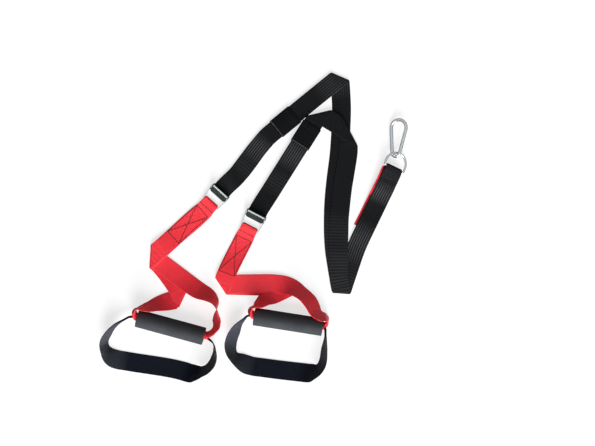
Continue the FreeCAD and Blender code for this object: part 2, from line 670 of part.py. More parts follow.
def sweep(body, loops_path, plane, lift, loops):
    """Material swept along a path sketch of lines and arcs on the XY plane."""
    path = body.newObject("Sketcher::SketchObject", "Path")
    face = next(f for f in body.Origin.OriginFeatures if f.Role == "XY_Plane")
    path.AttachmentSupport = [(face, "")]
    path.MapMode = "FlatFace"
    for curve in loops_path:
        path.addGeometry(curve, False)
    pipe = body.newObject("PartDesign::AdditivePipe", "Pipe")
    pipe.Profile = sketch_on(body, plane, lift, loops)
    pipe.Spine = path
    pipe.Mode = "Frenet"
    pipe.Transition = "Right corner"
    body.Tip = pipe
    return pipe


def arc(x, y, radius, start, end):
    circle = Part.Circle(V(x, y, 0), UP, radius)
    return Part.ArcOfCircle(circle, math.radians(start), math.radians(end))


ring = new_body("d_ring")
BEND = 2.6                                     # centre-line radius of the D's two corners
H = RING_HALF
sweep(ring, [Part.LineSegment(V(0, 0, 0), V(H - BEND, 0, 0)), arc(H - BEND, BEND, BEND, -90, 0),
             Part.LineSegment(V(H, BEND, 0), V(H, RING_STRAIGHT, 0)),
             arc(0, RING_STRAIGHT, H, 0, 180),
             Part.LineSegment(V(-H, RING_STRAIGHT, 0), V(-H, BEND, 0)),
             arc(BEND - H, BEND, BEND, 180, 270),
             Part.LineSegment(V(BEND - H, 0, 0), V(0, 0, 0))], "YZ", 0, [(0, 0, RING_R)])
# local X is the ring's right side, local Y points away from the strap
ring.Placement = FreeCAD.Placement(
    ring_middle, FreeCAD.Rotation(UP, ANCHOR_HEADING - 90) * FreeCAD.Rotation(V(0, 1, 0), RING_ROLL)
    * FreeCAD.Rotation(V(1, 0, 0), RING_PITCH))

# ---------------------------------------------------------------- snap hook
WIRE = size("hook_wire") / 2
NARROW = (size("hook_throat") + 2 * WIRE) / 2 - 0.25
WIDE = size("hook_width") / 2 - WIRE
SPAN = size("hook_length") - 2 * WIRE - NARROW - WIDE
FLARE = math.asin((WIDE - NARROW) / SPAN)      # lean of the hook's legs
leg_foot = V(NARROW * math.cos(FLARE), -NARROW * math.sin(FLARE), 0)
leg_top = V(WIDE * math.cos(FLARE), SPAN - WIDE * math.sin(FLARE), 0)
LEG = (leg_top - leg_foot).Length
leg_way = unit(leg_top - leg_foot)
TANG = 3.0                                     # thickness of the tang and of the nose tongue
SHOULDER, PIVOT, NOSE_TIP, LATCH, NOSE = 5.5, 10.0, LEG - 9.1, LEG - 7.0, LEG - 2.5
HOOK_LIE = (FreeCAD.Rotation(UP, 83.2 - 90) * FreeCAD.Rotation(V(0, 1, 0), -30.0)
            * FreeCAD.Rotation(V(1, 0, 0), 0.5))
hook_place = FreeCAD.Placement(V(280.4, 150.5, 12.4), HOOK_LIE)
# frame of the gate: its local X runs up the right leg, local Y to the inside
leg_lie = FreeCAD.Placement(leg_foot, FreeCAD.Rotation(UP, math.degrees(math.atan2(leg_way.y, leg_way.x))))


def leg_loop(loop):
    """Corners given in the leg's frame, in the hook's frame."""
    return [tuple(leg_lie.multVec(V(x, y, 0)))[:2] for x, y in loop]


def leg_circle(x, radius):
    spot = leg_lie.multVec(V(x, 0, 0))
    return (spot.x, spot.y, radius)


hook = new_body("snap_hook_body")
FLARE_DEG = math.degrees(FLARE)
crown = SPAN + WIDE
nose_end = leg_foot + leg_way * NOSE
shoulder = leg_foot + leg_way * SHOULDER
left_foot = V(-leg_foot.x, leg_foot.y, 0)
left_top = V(-leg_top.x, leg_top.y, 0)
sweep(hook, [arc(0, SPAN, WIDE, -FLARE_DEG, 90), Part.LineSegment(leg_top, nose_end)],
      "YZ", 0, [(crown, 0, WIRE)])
sweep(hook, [arc(0, SPAN, WIDE, 90, 180 + FLARE_DEG), Part.LineSegment(left_top, left_foot),
             arc(0, 0, NARROW, 180 + FLARE_DEG, 360 - FLARE_DEG),
             Part.LineSegment(leg_foot, shoulder)], "YZ", 0, [(crown, 0, WIRE)])
tang_round = [(PIVOT + 3.2 * math.cos(math.radians(a)), 3.2 * math.sin(math.radians(a)))
              for a in range(-90, 91, 15)]
pad(hook, "XY", 0, [leg_loop([(SHOULDER - 0.5, -3.2)] + tang_round + [(SHOULDER - 0.5, 3.2)])],
    TANG, both=True)
pad(hook, "XY", 0, [leg_loop([(NOSE + 0.5, 3.2), (LATCH + 1.1, 3.2), (LATCH + 1.1, -1.1),
                              (LATCH - 1.3, -1.1), (LATCH - 1.3, 2.4), (NOSE_TIP, 2.4),
                              (NOSE_TIP, -2.8), (NOSE + 0.5, -3.2)])], TANG, both=True)
doc.recompute()
pocket(hook, "XY", 0, [leg_circle(PIVOT, 1.25)], 2 * WIRE, both=True)
hook.Placement = hook_place

leg_place = hook_place.multiply(leg_lie)
gate = new_body("snap_hook_gate")
GATE_FOOT, GATE_END = PIVOT - 2.6, NOSE - 1.5
SLOT = TANG + 0.3
GATE_RUN = NOSE_TIP - PIVOT                    # plunger and spring share the gate's bore
PLUNGER = 0.195 * GATE_RUN
BORE_START, BORE_END = PIVOT + 3.8, PIVOT + 0.745 * GATE_RUN
SPRING_START = PIVOT + 3.5 + PLUNGER + 0.3
SPRING_TURNS = 7
SPRING_PITCH = (BORE_END - 0.5 - SPRING_START) / SPRING_TURNS
pad(gate, "YZ", GATE_FOOT, [(0, 0, WIRE)], GATE_END - GATE_FOOT)
doc.recompute()
pocket(gate, "XY", 0, [box_loop(GATE_FOOT - 1, -WIRE - 1, PIVOT + 4, WIRE + 1)], SLOT, both=True)
pocket(gate, "XY", 0, [box_loop(NOSE_TIP - 0.5, -WIRE - 1, GATE_END + 1, WIRE + 1)], SLOT, both=True)
pocket(gate, "YZ", BORE_END, [(0, 0, 1.8)], BORE_END - BORE_START)
pocket(gate, "XY", 0, [(PIVOT, 0, 1.3)], 2 * WIRE + 1, both=True)
pocket(gate, "XY", 0, [(LATCH, 0, 0.95)], 2 * WIRE + 1, both=True)
gate.Placement = leg_place


def add_peg(name, plane, start, length, radius, placement, both=False):
    peg = new_body(name)
    pad(peg, plane, start, [(0, 0, radius)], length, both=both)
    peg.Placement = placement


def on_leg(distance):
    return leg_place.multiply(FreeCAD.Placement(V(distance, 0, 0), FreeCAD.Rotation()))


add_peg("gate_pivot_pin", "XY", 0, 2 * WIRE, 1.2, on_leg(PIVOT), True)
add_peg("gate_latch_pin", "XY", 0, 2 * WIRE - 0.8, 0.9, on_leg(LATCH), True)
add_peg("gate_plunger", "YZ", 0, PLUNGER, 1.5, on_leg(PIVOT + 3.5))
coil_lie = leg_place.multiply(FreeCAD.Placement(V(SPRING_START, 0, 0),
                                                FreeCAD.Rotation(V(0, 1, 0), 90)))
add_solid("gate_spring", coil(1.35, 0.5, SPRING_PITCH, SPRING_TURNS), coil_lie)

# ---------------------------------------------------------------- checks and export
doc.recompute()
nodes = [o for o in doc.Objects if o.TypeId == "PartDesign::Body" or o.TypeId == "Part::Feature"]
for o in doc.Objects:
    if "Invalid" in o.State or "Error" in o.State:
        raise RuntimeError("%s: %s" % (o.Label, o.State))
os.makedirs("parts", exist_ok=True)
for o in nodes:
    if o.Shape.isNull() or not o.Shape.isValid() or len(o.Shape.Solids) != 1:
        raise RuntimeError("%s is not one valid solid" % o.Label)
    box = o.Shape.BoundBox
    print("%-22s %9.0f mm3  x %7.1f %7.1f  y %7.1f %7.1f  z %6.2f %6.2f" % (
        o.Label, o.Shape.Volume, box.XMin, box.XMax, box.YMin, box.YMax, box.ZMin, box.ZMax))
    o.Shape.exportStep("parts/%s.step" % o.Label)
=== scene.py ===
"""Suspension strap trainer: webbing, foam grips and steel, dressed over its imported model.

The trainer lies flat.  Lengths are metres, as in the frame, except in the strap routes and
in the few sizes marked mm, which are millimetres and are scaled where a mesh is made.
"""

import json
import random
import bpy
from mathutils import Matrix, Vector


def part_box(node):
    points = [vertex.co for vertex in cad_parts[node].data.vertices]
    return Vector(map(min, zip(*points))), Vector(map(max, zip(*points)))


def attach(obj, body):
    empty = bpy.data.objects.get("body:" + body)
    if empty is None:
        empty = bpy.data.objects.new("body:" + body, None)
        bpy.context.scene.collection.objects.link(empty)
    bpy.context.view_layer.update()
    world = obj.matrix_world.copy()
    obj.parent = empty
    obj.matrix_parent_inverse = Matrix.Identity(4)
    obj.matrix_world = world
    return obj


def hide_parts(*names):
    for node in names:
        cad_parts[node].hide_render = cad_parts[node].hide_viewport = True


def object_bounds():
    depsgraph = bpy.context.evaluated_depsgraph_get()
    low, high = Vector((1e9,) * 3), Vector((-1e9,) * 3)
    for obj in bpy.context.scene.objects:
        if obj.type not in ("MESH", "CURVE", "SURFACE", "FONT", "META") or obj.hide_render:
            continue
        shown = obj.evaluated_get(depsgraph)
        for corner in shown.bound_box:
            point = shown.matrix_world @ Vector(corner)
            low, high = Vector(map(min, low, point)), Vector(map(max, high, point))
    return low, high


bl_info = {
    "name": "Suspension Strap Trainer",
    "version": (1, 0, 0),
    "blender": (4, 5, 0),
    "location": "View3D > Sidebar > Trainer",
    "description": "Adds a webbing suspension trainer with cam buckles and foam grips",
    "category": "Add Mesh",
}

from collections import namedtuple
from math import atan2, ceil, cos, degrees, dist, exp, hypot, pi, radians, sin, tan

import bmesh
import bpy
from mathutils import Matrix, Vector

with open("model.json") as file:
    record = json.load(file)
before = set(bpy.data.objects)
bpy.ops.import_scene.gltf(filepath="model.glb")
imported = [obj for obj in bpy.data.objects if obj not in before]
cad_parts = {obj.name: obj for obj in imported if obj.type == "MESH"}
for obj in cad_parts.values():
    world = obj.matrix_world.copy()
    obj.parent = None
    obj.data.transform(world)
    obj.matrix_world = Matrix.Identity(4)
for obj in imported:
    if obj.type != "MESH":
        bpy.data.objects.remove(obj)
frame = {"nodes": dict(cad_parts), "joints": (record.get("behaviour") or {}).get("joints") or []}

MM = 0.001
UP = Vector((0, 0, 1))
SIDES = ("left", "right")
WEAR = ("polish_and_painted_sheen", "dust", "crease")
CAD_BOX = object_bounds()
CAM_RIDGE = 0.0018           # from a cam's pin to its ridge, in metres
KEEPER_WALL = 1.4            # this and the next four are in mm
KEEPER_LENGTH = 48.0
GRIP_TUBE = 139.0
TUBE_BORE = 11.0             # radius of the grip tube's bore
BORE_ROOM = 0.5              # between the bore and the webbing curled inside it


def joint(name):
    return next(j for j in frame["joints"] if j["name"] == name)


def seat(name):
    """A point on a joint's axis, in mm."""
    return Vector(joint(name)["pos_m"]) / MM


def bearing(name):
    """Heading of a joint's axis in plan, in degrees."""
    x, y, _ = joint(name)["axis"]
    return degrees(atan2(y, x))


def middle(node):
    low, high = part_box(node)
    return (Vector(low) + Vector(high)) / 2


# ------------------------------------------------------------------ settings
class WebbingSettings(bpy.types.PropertyGroup):
    """Sizes of the webbing and its thread."""

    width: bpy.props.FloatProperty(
        name="Width", description="Width of all webbing, flat", default=0.038,
        min=0.02, max=0.06, unit="LENGTH")
    thickness: bpy.props.FloatProperty(
        name="Thickness", description="Thickness of one layer", default=0.0016,
        min=0.0008, max=0.003, unit="LENGTH")
    layer_pitch: bpy.props.FloatProperty(
        name="Layer pitch", description="Height from one stacked layer to the next",
        default=0.0018, min=0.001, max=0.004, unit="LENGTH")
    yarn: bpy.props.FloatProperty(
        name="Yarn", description="Width of one lengthwise yarn of the weave", default=0.0012,
        min=0.0004, max=0.004, unit="LENGTH")
    pick: bpy.props.FloatProperty(
        name="Pick", description="Length of one crosswise pick of the weave", default=0.0016,
        min=0.0004, max=0.006, unit="LENGTH")
    rib: bpy.props.FloatProperty(
        name="Rib", description="Distance between the black webbing's lengthwise ribs",
        default=0.0047, min=0.002, max=0.01, unit="LENGTH")
    thread: bpy.props.FloatProperty(
        name="Thread", description="Diameter of the sewing thread", default=0.0013,
        min=0.0003, max=0.002, unit="LENGTH")
    stitch: bpy.props.FloatProperty(
        name="Stitch", description="Length of one stitch", default=0.0036,
        min=0.001, max=0.008, unit="LENGTH")


class ColourSettings(bpy.types.PropertyGroup):
    """Colours of the finishes."""

    red: bpy.props.FloatVectorProperty(
        name="Red webbing", description="Handle straps and backing", subtype="COLOR",
        default=(0.84, 0.020, 0.036), min=0, max=1)
    black: bpy.props.FloatVectorProperty(
        name="Black webbing", description="Long straps and keepers", subtype="COLOR",
        default=(0.0042, 0.0046, 0.0056), min=0, max=1)
    navy: bpy.props.FloatVectorProperty(
        name="Foot loops", description="Foot loop webbing", subtype="COLOR",
        default=(0.0028, 0.0040, 0.0085), min=0, max=1)
    thread: bpy.props.FloatVectorProperty(
        name="Thread", description="Sewing thread", subtype="COLOR",
        default=(0.012, 0.010, 0.012), min=0, max=1)
    foam: bpy.props.FloatVectorProperty(
        name="Foam", description="Foam of the grips", subtype="COLOR",
        default=(0.030, 0.0325, 0.037), min=0, max=1)
    zinc: bpy.props.FloatVectorProperty(
        name="Zinc plate", description="Buckle frames, ring and snap hook", subtype="COLOR",
        default=(0.62, 0.66, 0.68), min=0, max=1)
    cam: bpy.props.FloatVectorProperty(
        name="Cam", description="Phosphated steel of the buckle cams", subtype="COLOR",
        default=(0.030, 0.040, 0.038), min=0, max=1)


class StageSettings(bpy.types.PropertyGroup):
    """Camera, lamps and floor."""

    view_width: bpy.props.FloatProperty(
        name="View width", description="Width of the floor that the camera sees",
        default=1.19, min=0.3, max=5.0, unit="LENGTH")
    lens: bpy.props.FloatProperty(
        name="Lens", description="Focal length of the camera, in mm", default=100.0,
        min=24.0, max=200.0)
    lamp_level: bpy.props.FloatProperty(
        name="Lamp", description="Light that the main lamp puts on the floor, 1 being white",
        default=0.62, min=0.0, max=1.5)
    lamp_rise: bpy.props.FloatProperty(
        name="Lamp rise", description="Elevation of the main lamp",
        default=radians(40), min=radians(10), max=radians(90), unit="ROTATION")
    lamp_size: bpy.props.FloatProperty(
        name="Lamp size", description="Width of the main lamp as the trainer sees it",
        default=radians(36), min=0.0, max=radians(120), unit="ROTATION")
    side_level: bpy.props.FloatProperty(
        name="Side lamp", description="Light of the low side lamp on a wall facing it",
        default=1.7, min=0.0, max=3.0)
    surround: bpy.props.FloatProperty(
        name="Surround", description="Brightness of the white studio walls", default=0.22,
        min=0.0, max=1.0)


SETTINGS = {
    "trainer_webbing": WebbingSettings,
    "trainer_colours": ColourSettings,
    "trainer_stage": StageSettings,
}


# ------------------------------------------------------------------ node helpers
def feed(tree, target, inputs):
    """Links a node's inputs to sockets, or sets them to values."""
    for key, value in inputs.items():
        if isinstance(value, bpy.types.NodeSocket):
            tree.links.new(value, target.inputs[key])
        else:
            target.inputs[key].default_value = value


def node(tree, kind, inputs=None, **settings):
    """A node with its settings, and its inputs given as values or as sockets."""
    made = tree.nodes.new(kind)
    for key, value in settings.items():
        setattr(made, key, value)
    feed(tree, made, inputs or {})
    return made


def maths(tree, operation, *values):
    return node(tree, "ShaderNodeMath", dict(enumerate(values)), operation=operation).outputs[0]


def times(tree, *values):
    """The product of two values, to which a third is added if it is given."""
    return maths(tree, "MULTIPLY_ADD" if len(values) > 2 else "MULTIPLY", *values)


def shade(colour, factor, grey=0.0):
    """A colour made lighter or darker, with a little grey added, held at 1."""
    return [min(1.0, c * factor + grey) for c in colour]


def tint(tree, share, first, second):
    """A colour between two colours or sockets."""
    first, second = (c if isinstance(c, bpy.types.NodeSocket) else (*c, 1.0)[:4]
                     for c in (first, second))
    return node(tree, "ShaderNodeMix", {0: share, 6: first, 7: second},
                data_type="RGBA").outputs[2]


def spread(tree, value, low, high, to_low=0.0, to_high=1.0):
    """A value's range mapped to another, and held there."""
    return node(tree, "ShaderNodeMapRange", {
        "Value": value, "From Min": low, "From Max": high, "To Min": to_low, "To Max": to_high,
    }).outputs[0]


def noise(tree, vector, scale, detail, roughness=0.5):
    return node(tree, "ShaderNodeTexNoise", {
        "Vector": vector, "Scale": scale, "Detail": detail, "Roughness": roughness}).outputs[0]


def axes_of(tree, vector):
    return node(tree, "ShaderNodeSeparateXYZ", {0: vector}).outputs


def bump(tree, height, depth, strength=1.0, **more):
    """A normal tilted by a height, whose full depth is in metres."""
    return node(tree, "ShaderNodeBump", {"Height": height, "Distance": depth,
                                         "Strength": strength, **more}).outputs[0]


def new_group(name, inputs, outputs):
    """An empty node group with float or vector inputs and float outputs."""
    group = bpy.data.node_groups.new(name, "ShaderNodeTree")
    for label, default in inputs:
        kind = "NodeSocketVector" if default is None else "NodeSocketFloat"
        socket = group.interface.new_socket(name=label, in_out="INPUT", socket_type=kind)
        if default is not None:
            socket.default_value = default
    for label in outputs:
        group.interface.new_socket(name=label, in_out="OUTPUT", socket_type="NodeSocketFloat")
    given = group.nodes.new("NodeGroupInput").outputs
    return group, given, group.nodes.new("NodeGroupOutput")


def placed_group(tree, group, **inputs):
    return node(tree, "ShaderNodeGroup", inputs, node_tree=group).outputs


def weave_group():
    """Webbing weave: lengthwise yarns with slanted picks, turned alternately."""
    group, given, out = new_group(
        "webbing_weave", [("Vector", None), ("Yarn", 0.0016), ("Pick", 0.0022)],
        ["Height", "Tone"])
    x, y, _ = axes_of(group, given["Vector"])
    column = maths(group, "DIVIDE", x, given["Yarn"])
    number = maths(group, "FLOOR", column)
    across = maths(group, "FRACT", column)
    hand = times(group, maths(group, "FLOORED_MODULO", number, 2.0), 2.0, -1.0)
    slant = times(group, maths(group, "SUBTRACT", across, 0.5), hand)
    row = times(group, slant, 0.8, maths(group, "DIVIDE", y, given["Pick"]))
    crown_x, crown_y = (maths(group, "SINE", times(group, part, pi))
                        for part in (across, maths(group, "FRACT", row)))
    height = times(group, maths(group, "POWER", crown_x, 0.6), times(group, crown_y, 0.6, 0.4))
    cell = node(group, "ShaderNodeCombineXYZ", {0: number, 1: maths(group, "FLOOR", row)})
    chance = node(group, "ShaderNodeTexWhiteNoise", {"Vector": cell.outputs[0]},
                  noise_dimensions="2D")
    feed(group, out, {"Height": height, "Tone": chance.outputs["Value"]})
    return group


def rib_group():
    """Broad lengthwise ribs of heavy webbing, with thin crosswise lines."""
    group, given, out = new_group(
        "webbing_ribs", [("Vector", None), ("Rib", 0.0047), ("Line", 0.006)], ["Rib", "Line"])
    for label, socket in zip(("Rib", "Line"), axes_of(group, given["Vector"])):
        turn = times(group, maths(group, "DIVIDE", socket, given[label]), 2 * pi)
        wave = times(group, maths(group, "COSINE", turn), 0.5, 0.5)
        feed(group, out, {label: maths(group, "POWER", wave, 1.6)})
    return group


def selvedge_group():
    """The chain of knots along both edges of woven webbing."""
    group, given, out = new_group(
        "webbing_selvedge", [("Vector", None), ("Width", 0.038), ("Pick", 0.0016)], ["Chain"])
    x, y, _ = axes_of(group, given["Vector"])
    turn = maths(group, "PINGPONG", x, times(group, given["Width"], 0.5))
    line = spread(group, maths(group, "ABSOLUTE", maths(group, "SUBTRACT", turn, 0.0011)),
                  0.0007, 0.0003)
    knots = maths(group, "FRACT", maths(group, "DIVIDE", y, times(group, given["Pick"], 1.5)))
    knots = maths(group, "SINE", times(group, knots, pi))
    feed(group, out, {"Chain": times(group, line, knots)})
    return group


def wrinkle_group():
    """Soft crosswise wrinkles, as cloth has at a fold."""
    group, given, out = new_group("cloth_wrinkles", [("Vector", None)], ["Height"])
    long_way = node(group, "ShaderNodeMapping", {
        "Vector": given["Vector"], "Rotation": (0, 0, radians(12)), "Scale": (28.0, 150.0, 1.0)})
    feed(group, out, {"Height": noise(group, long_way.outputs[0], 1.0, 2.0, 0.4)})
    return group


def patch_group():
    """Slow uneven patches, such as handling, fading or dust."""
    group, given, out = new_group("uneven_patches", [("Vector", None), ("Scale", 30.0)], ["Mask"])
    cloud = noise(group, given["Vector"], given["Scale"], 3.0, 0.55)
    feed(group, out, {"Mask": spread(group, cloud, 0.32, 0.68)})
    return group


def scratch_group():
    """Fine drawn lines and small dents of plated steel."""
    group, given, out = new_group("plate_marks", [("Vector", None), ("Scale", 900.0)],
                                  ["Lines", "Dents"])
    long_way = node(group, "ShaderNodeMapping", {"Vector": given["Vector"],
                                                 "Scale": (1.0, 0.12, 1.0)})
    lines = noise(group, long_way.outputs[0], given["Scale"], 2.0)
    dents = node(group, "ShaderNodeTexVoronoi", {
        "Vector": given["Vector"], "Scale": times(group, given["Scale"], 0.35)},
        feature="SMOOTH_F1")
    feed(group, out, {"Lines": spread(group, lines, 0.35, 0.65),
                      "Dents": spread(group, dents.outputs["Distance"], 0.1, 0.6)})
    return group


def start_material(name, roughness, metallic=0.0, sheen=0.0, gloss=0.5):
    """A material with its shader, and constants on the shader's own sockets."""
    material = bpy.data.materials.new(name)
    material.use_nodes = True
    tree = material.node_tree
    shader = tree.nodes["Principled BSDF"]
    feed(tree, shader, {"Roughness": roughness, "Metallic": metallic,
                        "Specular IOR Level": gloss})
    if sheen:
        feed(tree, shader, {"Sheen Weight": sheen, "Sheen Roughness": 0.35})
    return material, tree, shader


def object_place(tree):
    return node(tree, "ShaderNodeTexCoord").outputs["Object"]


# ------------------------------------------------------------------ finishes
def webbing_material(name, colour, groups, sizes, ribs=0.0, lines=0.0, painted_sheen=0.0, sheen=0.15,
                     roughness=0.72, contrast=0.35, gloss=0.5, coarse=1.0):
    """Woven webbing that follows the strap's own UV map, in metres.  Of its three attributes,
    the first says where it is rubbed smooth and where a painted sheen lightens the black
    webbing's ribs and the loops' yarns; dust says where it is dusty, and crease where a fold
    wrinkles it."""
    material, tree, shader = start_material(name, roughness, sheen=sheen, gloss=gloss)
    polish_and_painted_sheen, dust, crease = (
        node(tree, "ShaderNodeAttribute", attribute_name=label).outputs["Fac"]
        for label in WEAR)
    flat = node(tree, "ShaderNodeUVMap", uv_map="Webbing").outputs[0]
    weave = placed_group(tree, groups["weave"], Vector=flat, Yarn=sizes.yarn * coarse,
                         Pick=sizes.pick * coarse)
    broad = placed_group(tree, groups["ribs"], Vector=flat, Rib=sizes.rib, Line=0.0061)
    edge = placed_group(tree, groups["selvedge"], Vector=flat, Width=sizes.width,
                        Pick=sizes.pick)
    worn = placed_group(tree, groups["patches"], Vector=object_place(tree), Scale=26.0)
    wrinkle = placed_group(tree, groups["wrinkles"], Vector=flat)
    # Painted shade and highlight: colour follows the weave's height, darker in its hollows and
    # lighter on its crowns.
    cloth = tint(tree, weave["Height"], shade(colour, 1 - contrast),
                 shade(colour, 1 + contrast, 0.001))
    cloth = tint(tree, times(tree, weave["Tone"], 0.25), cloth, shade(colour, 0.6))
    # Painted highlight: the ribs turn lighter where the polish attribute is high.
    if ribs:
        shine = times(tree, times(tree, broad["Rib"], polish_and_painted_sheen), ribs)
        cloth = tint(tree, shine, cloth, shade(colour, 5.0, 0.056))
    if lines:
        share = times(tree, times(tree, dust, 0.85, 0.10), lines)
        matt = times(tree, times(tree, broad["Line"], 0.7, 0.3), share)
        cloth = tint(tree, matt, cloth, shade(colour, 3.0, 0.026))
    # Painted sheen: yarns turn pale grey where the polish attribute is high, as on the loops'
    # sides.
    if painted_sheen:
        pale = times(tree, times(tree, weave["Height"], polish_and_painted_sheen), painted_sheen)
        cloth = tint(tree, pale, cloth, (0.105, 0.115, 0.14))
    cloth = tint(tree, times(tree, worn["Mask"], 0.22), cloth, shade(colour, 1.35, 0.001))
    cloth = tint(tree, times(tree, edge["Chain"], 0.3), cloth, shade(colour, 1.6, 0.015))
    rough = spread(tree, weave["Height"], 0, 1, roughness + 0.1, roughness - 0.08)
    height = times(tree, broad["Rib"], 0.6 if ribs else 0.0, weave["Height"])
    fine = bump(tree, times(tree, edge["Chain"], 0.7, height), 0.00018 * coarse)
    folded = times(tree, wrinkle["Height"], crease)
    feed(tree, shader, {"Base Color": cloth, "Roughness": times(tree, polish_and_painted_sheen, -0.15, rough),
                        "Normal": bump(tree, folded, 0.0016, Normal=fine)})
    return material


def thread_material(name, colour):
    """Twisted polyester thread."""
    material, tree, shader = start_material(name, 0.55, sheen=0.1, gloss=0.2)
    twist = node(tree, "ShaderNodeTexWave", {"Vector": object_place(tree), "Scale": 420.0,
                                             "Distortion": 1.0},
                 bands_direction="DIAGONAL").outputs["Fac"]
    feed(tree, shader, {
        "Base Color": tint(tree, twist, shade(colour, 0.6), shade(colour, 1.8, 0.004)),
        "Normal": bump(tree, twist, 0.00008)})
    return material


def foam_material(colour, groups):
    """Closed-cell foam: fine pores in a matt skin, rubbed lighter in patches."""
    material, tree, shader = start_material("foam", 0.8, sheen=0.02, gloss=0.15)
    place = object_place(tree)
    pores = node(tree, "ShaderNodeTexVoronoi", {"Vector": place, "Scale": 1100.0})
    worn = placed_group(tree, groups["patches"], Vector=place, Scale=45.0)["Mask"]
    skin = spread(tree, pores.outputs["Distance"], 0.05, 0.45)
    body = tint(tree, skin, shade(colour, 0.62), shade(colour, 1.12))
    height = times(tree, noise(tree, place, 2300.0, 2.0), 0.35, skin)
    feed(tree, shader, {
        "Base Color": tint(tree, times(tree, worn, 0.3), body, shade(colour, 1.35)),
        "Roughness": spread(tree, worn, 0, 1, 0.86, 0.7),
        "Normal": bump(tree, height, 0.00012, 0.7)})
    return material


def tube_material():
    """Black extruded plastic of the grip's tube."""
    material, tree, shader = start_material("tube", 0.42)
    grain = noise(tree, object_place(tree), 500.0, 3.0)
    feed(tree, shader, {
        "Base Color": tint(tree, grain, (0.010, 0.010, 0.011), (0.028, 0.028, 0.030)),
        "Roughness": spread(tree, grain, 0.3, 0.7, 0.34, 0.52),
        "Normal": bump(tree, grain, 0.00004)})
    return material


def steel_material(name, colour, groups, roughness=0.28, scale=900.0):
    """Zinc-plated steel with drawn lines, small dents and dull patches."""
    material, tree, shader = start_material(name, roughness, metallic=1.0)
    place = object_place(tree)
    marks = placed_group(tree, groups["marks"], Vector=place, Scale=scale)
    dull = placed_group(tree, groups["patches"], Vector=place, Scale=120.0)["Mask"]
    plate = tint(tree, dull, shade(colour, 0.8), colour)
    feed(tree, shader, {
        "Base Color": tint(tree, times(tree, marks["Lines"], 0.25), plate, shade(colour, 0.7)),
        "Roughness": times(tree, dull, -0.12, times(tree, marks["Lines"], 0.12, roughness)),
        "Normal": bump(tree, times(tree, marks["Dents"], 0.5, marks["Lines"]), 0.00003, 0.5)})
    return material


def cam_material(name, colour, plated, groups, side):
    """Dark phosphated cam, rubbed back to bright steel on its knurled ridge."""
    material, tree, shader = start_material(name, 0.45, metallic=0.7)
    place = object_place(tree)
    pivot = side + "_cam_pivot"
    local = node(tree, "ShaderNodeMapping", {
        "Vector": place, "Location": seat(pivot) * MM,
        "Rotation": (0, 0, radians(bearing(pivot) - 90))}, vector_type="TEXTURE")
    x, _, z = axes_of(tree, local.outputs[0])
    marks = placed_group(tree, groups["marks"], Vector=place, Scale=700.0)
    bright = times(tree, spread(tree, x, CAM_RIDGE - 0.0004, CAM_RIDGE),
                   spread(tree, z, 0.00534, 0.00542))
    body = tint(tree, marks["Lines"], shade(colour, 0.7), shade(colour, 1.5))
    feed(tree, shader, {"Base Color": tint(tree, bright, body, plated),
                        "Roughness": times(tree, marks["Lines"], 0.15, 0.32),
                        "Normal": bump(tree, marks["Dents"], 0.00004, 0.6)})
    return material


FINISHES = {}


def make_finishes(scene):
    colours, sizes = scene.trainer_colours, scene.trainer_webbing
    groups = {"weave": weave_group(), "ribs": rib_group(), "patches": patch_group(),
              "marks": scratch_group(), "selvedge": selvedge_group(),
              "wrinkles": wrinkle_group()}
    zinc = list(colours.zinc)
    FINISHES.update({
        "red": webbing_material("red_webbing", colours.red, groups, sizes, sheen=0.08,
                                contrast=0.16, gloss=0.4, roughness=0.6),
        "black": webbing_material("black_webbing", colours.black, groups, sizes, ribs=0.9,
                                  lines=0.8, sheen=0.0, gloss=0.06),
        "plain": webbing_material("plain_black_webbing", colours.black, groups, sizes,
                                  sheen=0.0, gloss=0.04),
        "navy": webbing_material("loop_webbing", colours.navy, groups, sizes, painted_sheen=0.9,
                                 gloss=0.05, coarse=2.2, contrast=0.6),
        "thread": thread_material("thread", colours.thread),
        "pale_thread": thread_material("pale_thread", (0.13, 0.13, 0.135)),
        "foam": foam_material(colours.foam, groups),
        "tube": tube_material(),
        "frame": steel_material("zinc_plate", zinc, groups),
        "wire": steel_material("zinc_wire", shade(zinc, 0.9), groups, 0.24, 700.0),
        "pin": steel_material("pin_steel", shade(zinc, 0.85), groups, 0.3),
        "spring": steel_material("spring_steel", shade(zinc, 0.6), groups, 0.35),
    })
    for side in SIDES:
        FINISHES[side + "_cam"] = cam_material(side + "_cam_steel", colours.cam, zinc, groups,
                                               side)


# ------------------------------------------------------------------ webbing
Station = namedtuple("Station", "place across normal width curl travel shear")

BEND_STEP, ROLL_STEP, CURL_STEP = 3.0, 4.0, 15.0    # most degrees from section to section
RUN_STEP = 9.0                                     # and most mm
EASE_PASSES = 40
KINK = 0.985                 # cosine of the sharpest turn left in a strap's edge
PINCH = 0.10                 # how far a fold's corners are drawn in
CREASE_REACH = 16.0          # how far a fold wrinkles the cloth beside it, in mm


def unit(vector):
    return vector.normalized()


def turned(vector, axis, angle):
    return Matrix.Rotation(angle, 3, axis) @ vector


class Webbing:
    """The sizes of the webbing in mm, and what follows from them."""

    def __init__(self, settings):
        self.width = settings.width / MM
        self.thick = settings.thickness / MM
        self.pitch = settings.layer_pitch / MM
        self.first = self.thick / 2                # middle of a layer on the floor
        self.tight = self.pitch / 2 + 0.15         # bend radius of a flat fold's inner layer
        self.gap = 0.3


def level_frame(way):
    """The directions level to the left of a way, and above both."""
    left = unit(UP.cross(way))
    return left, way.cross(left)


def plan_frame(tangent, roll):
    """Width direction and normal of a strap; a positive roll lifts its left edge."""
    left, above = level_frame(tangent)
    across = left * cos(radians(roll)) + above * sin(radians(roll))
    return across, tangent.cross(across)


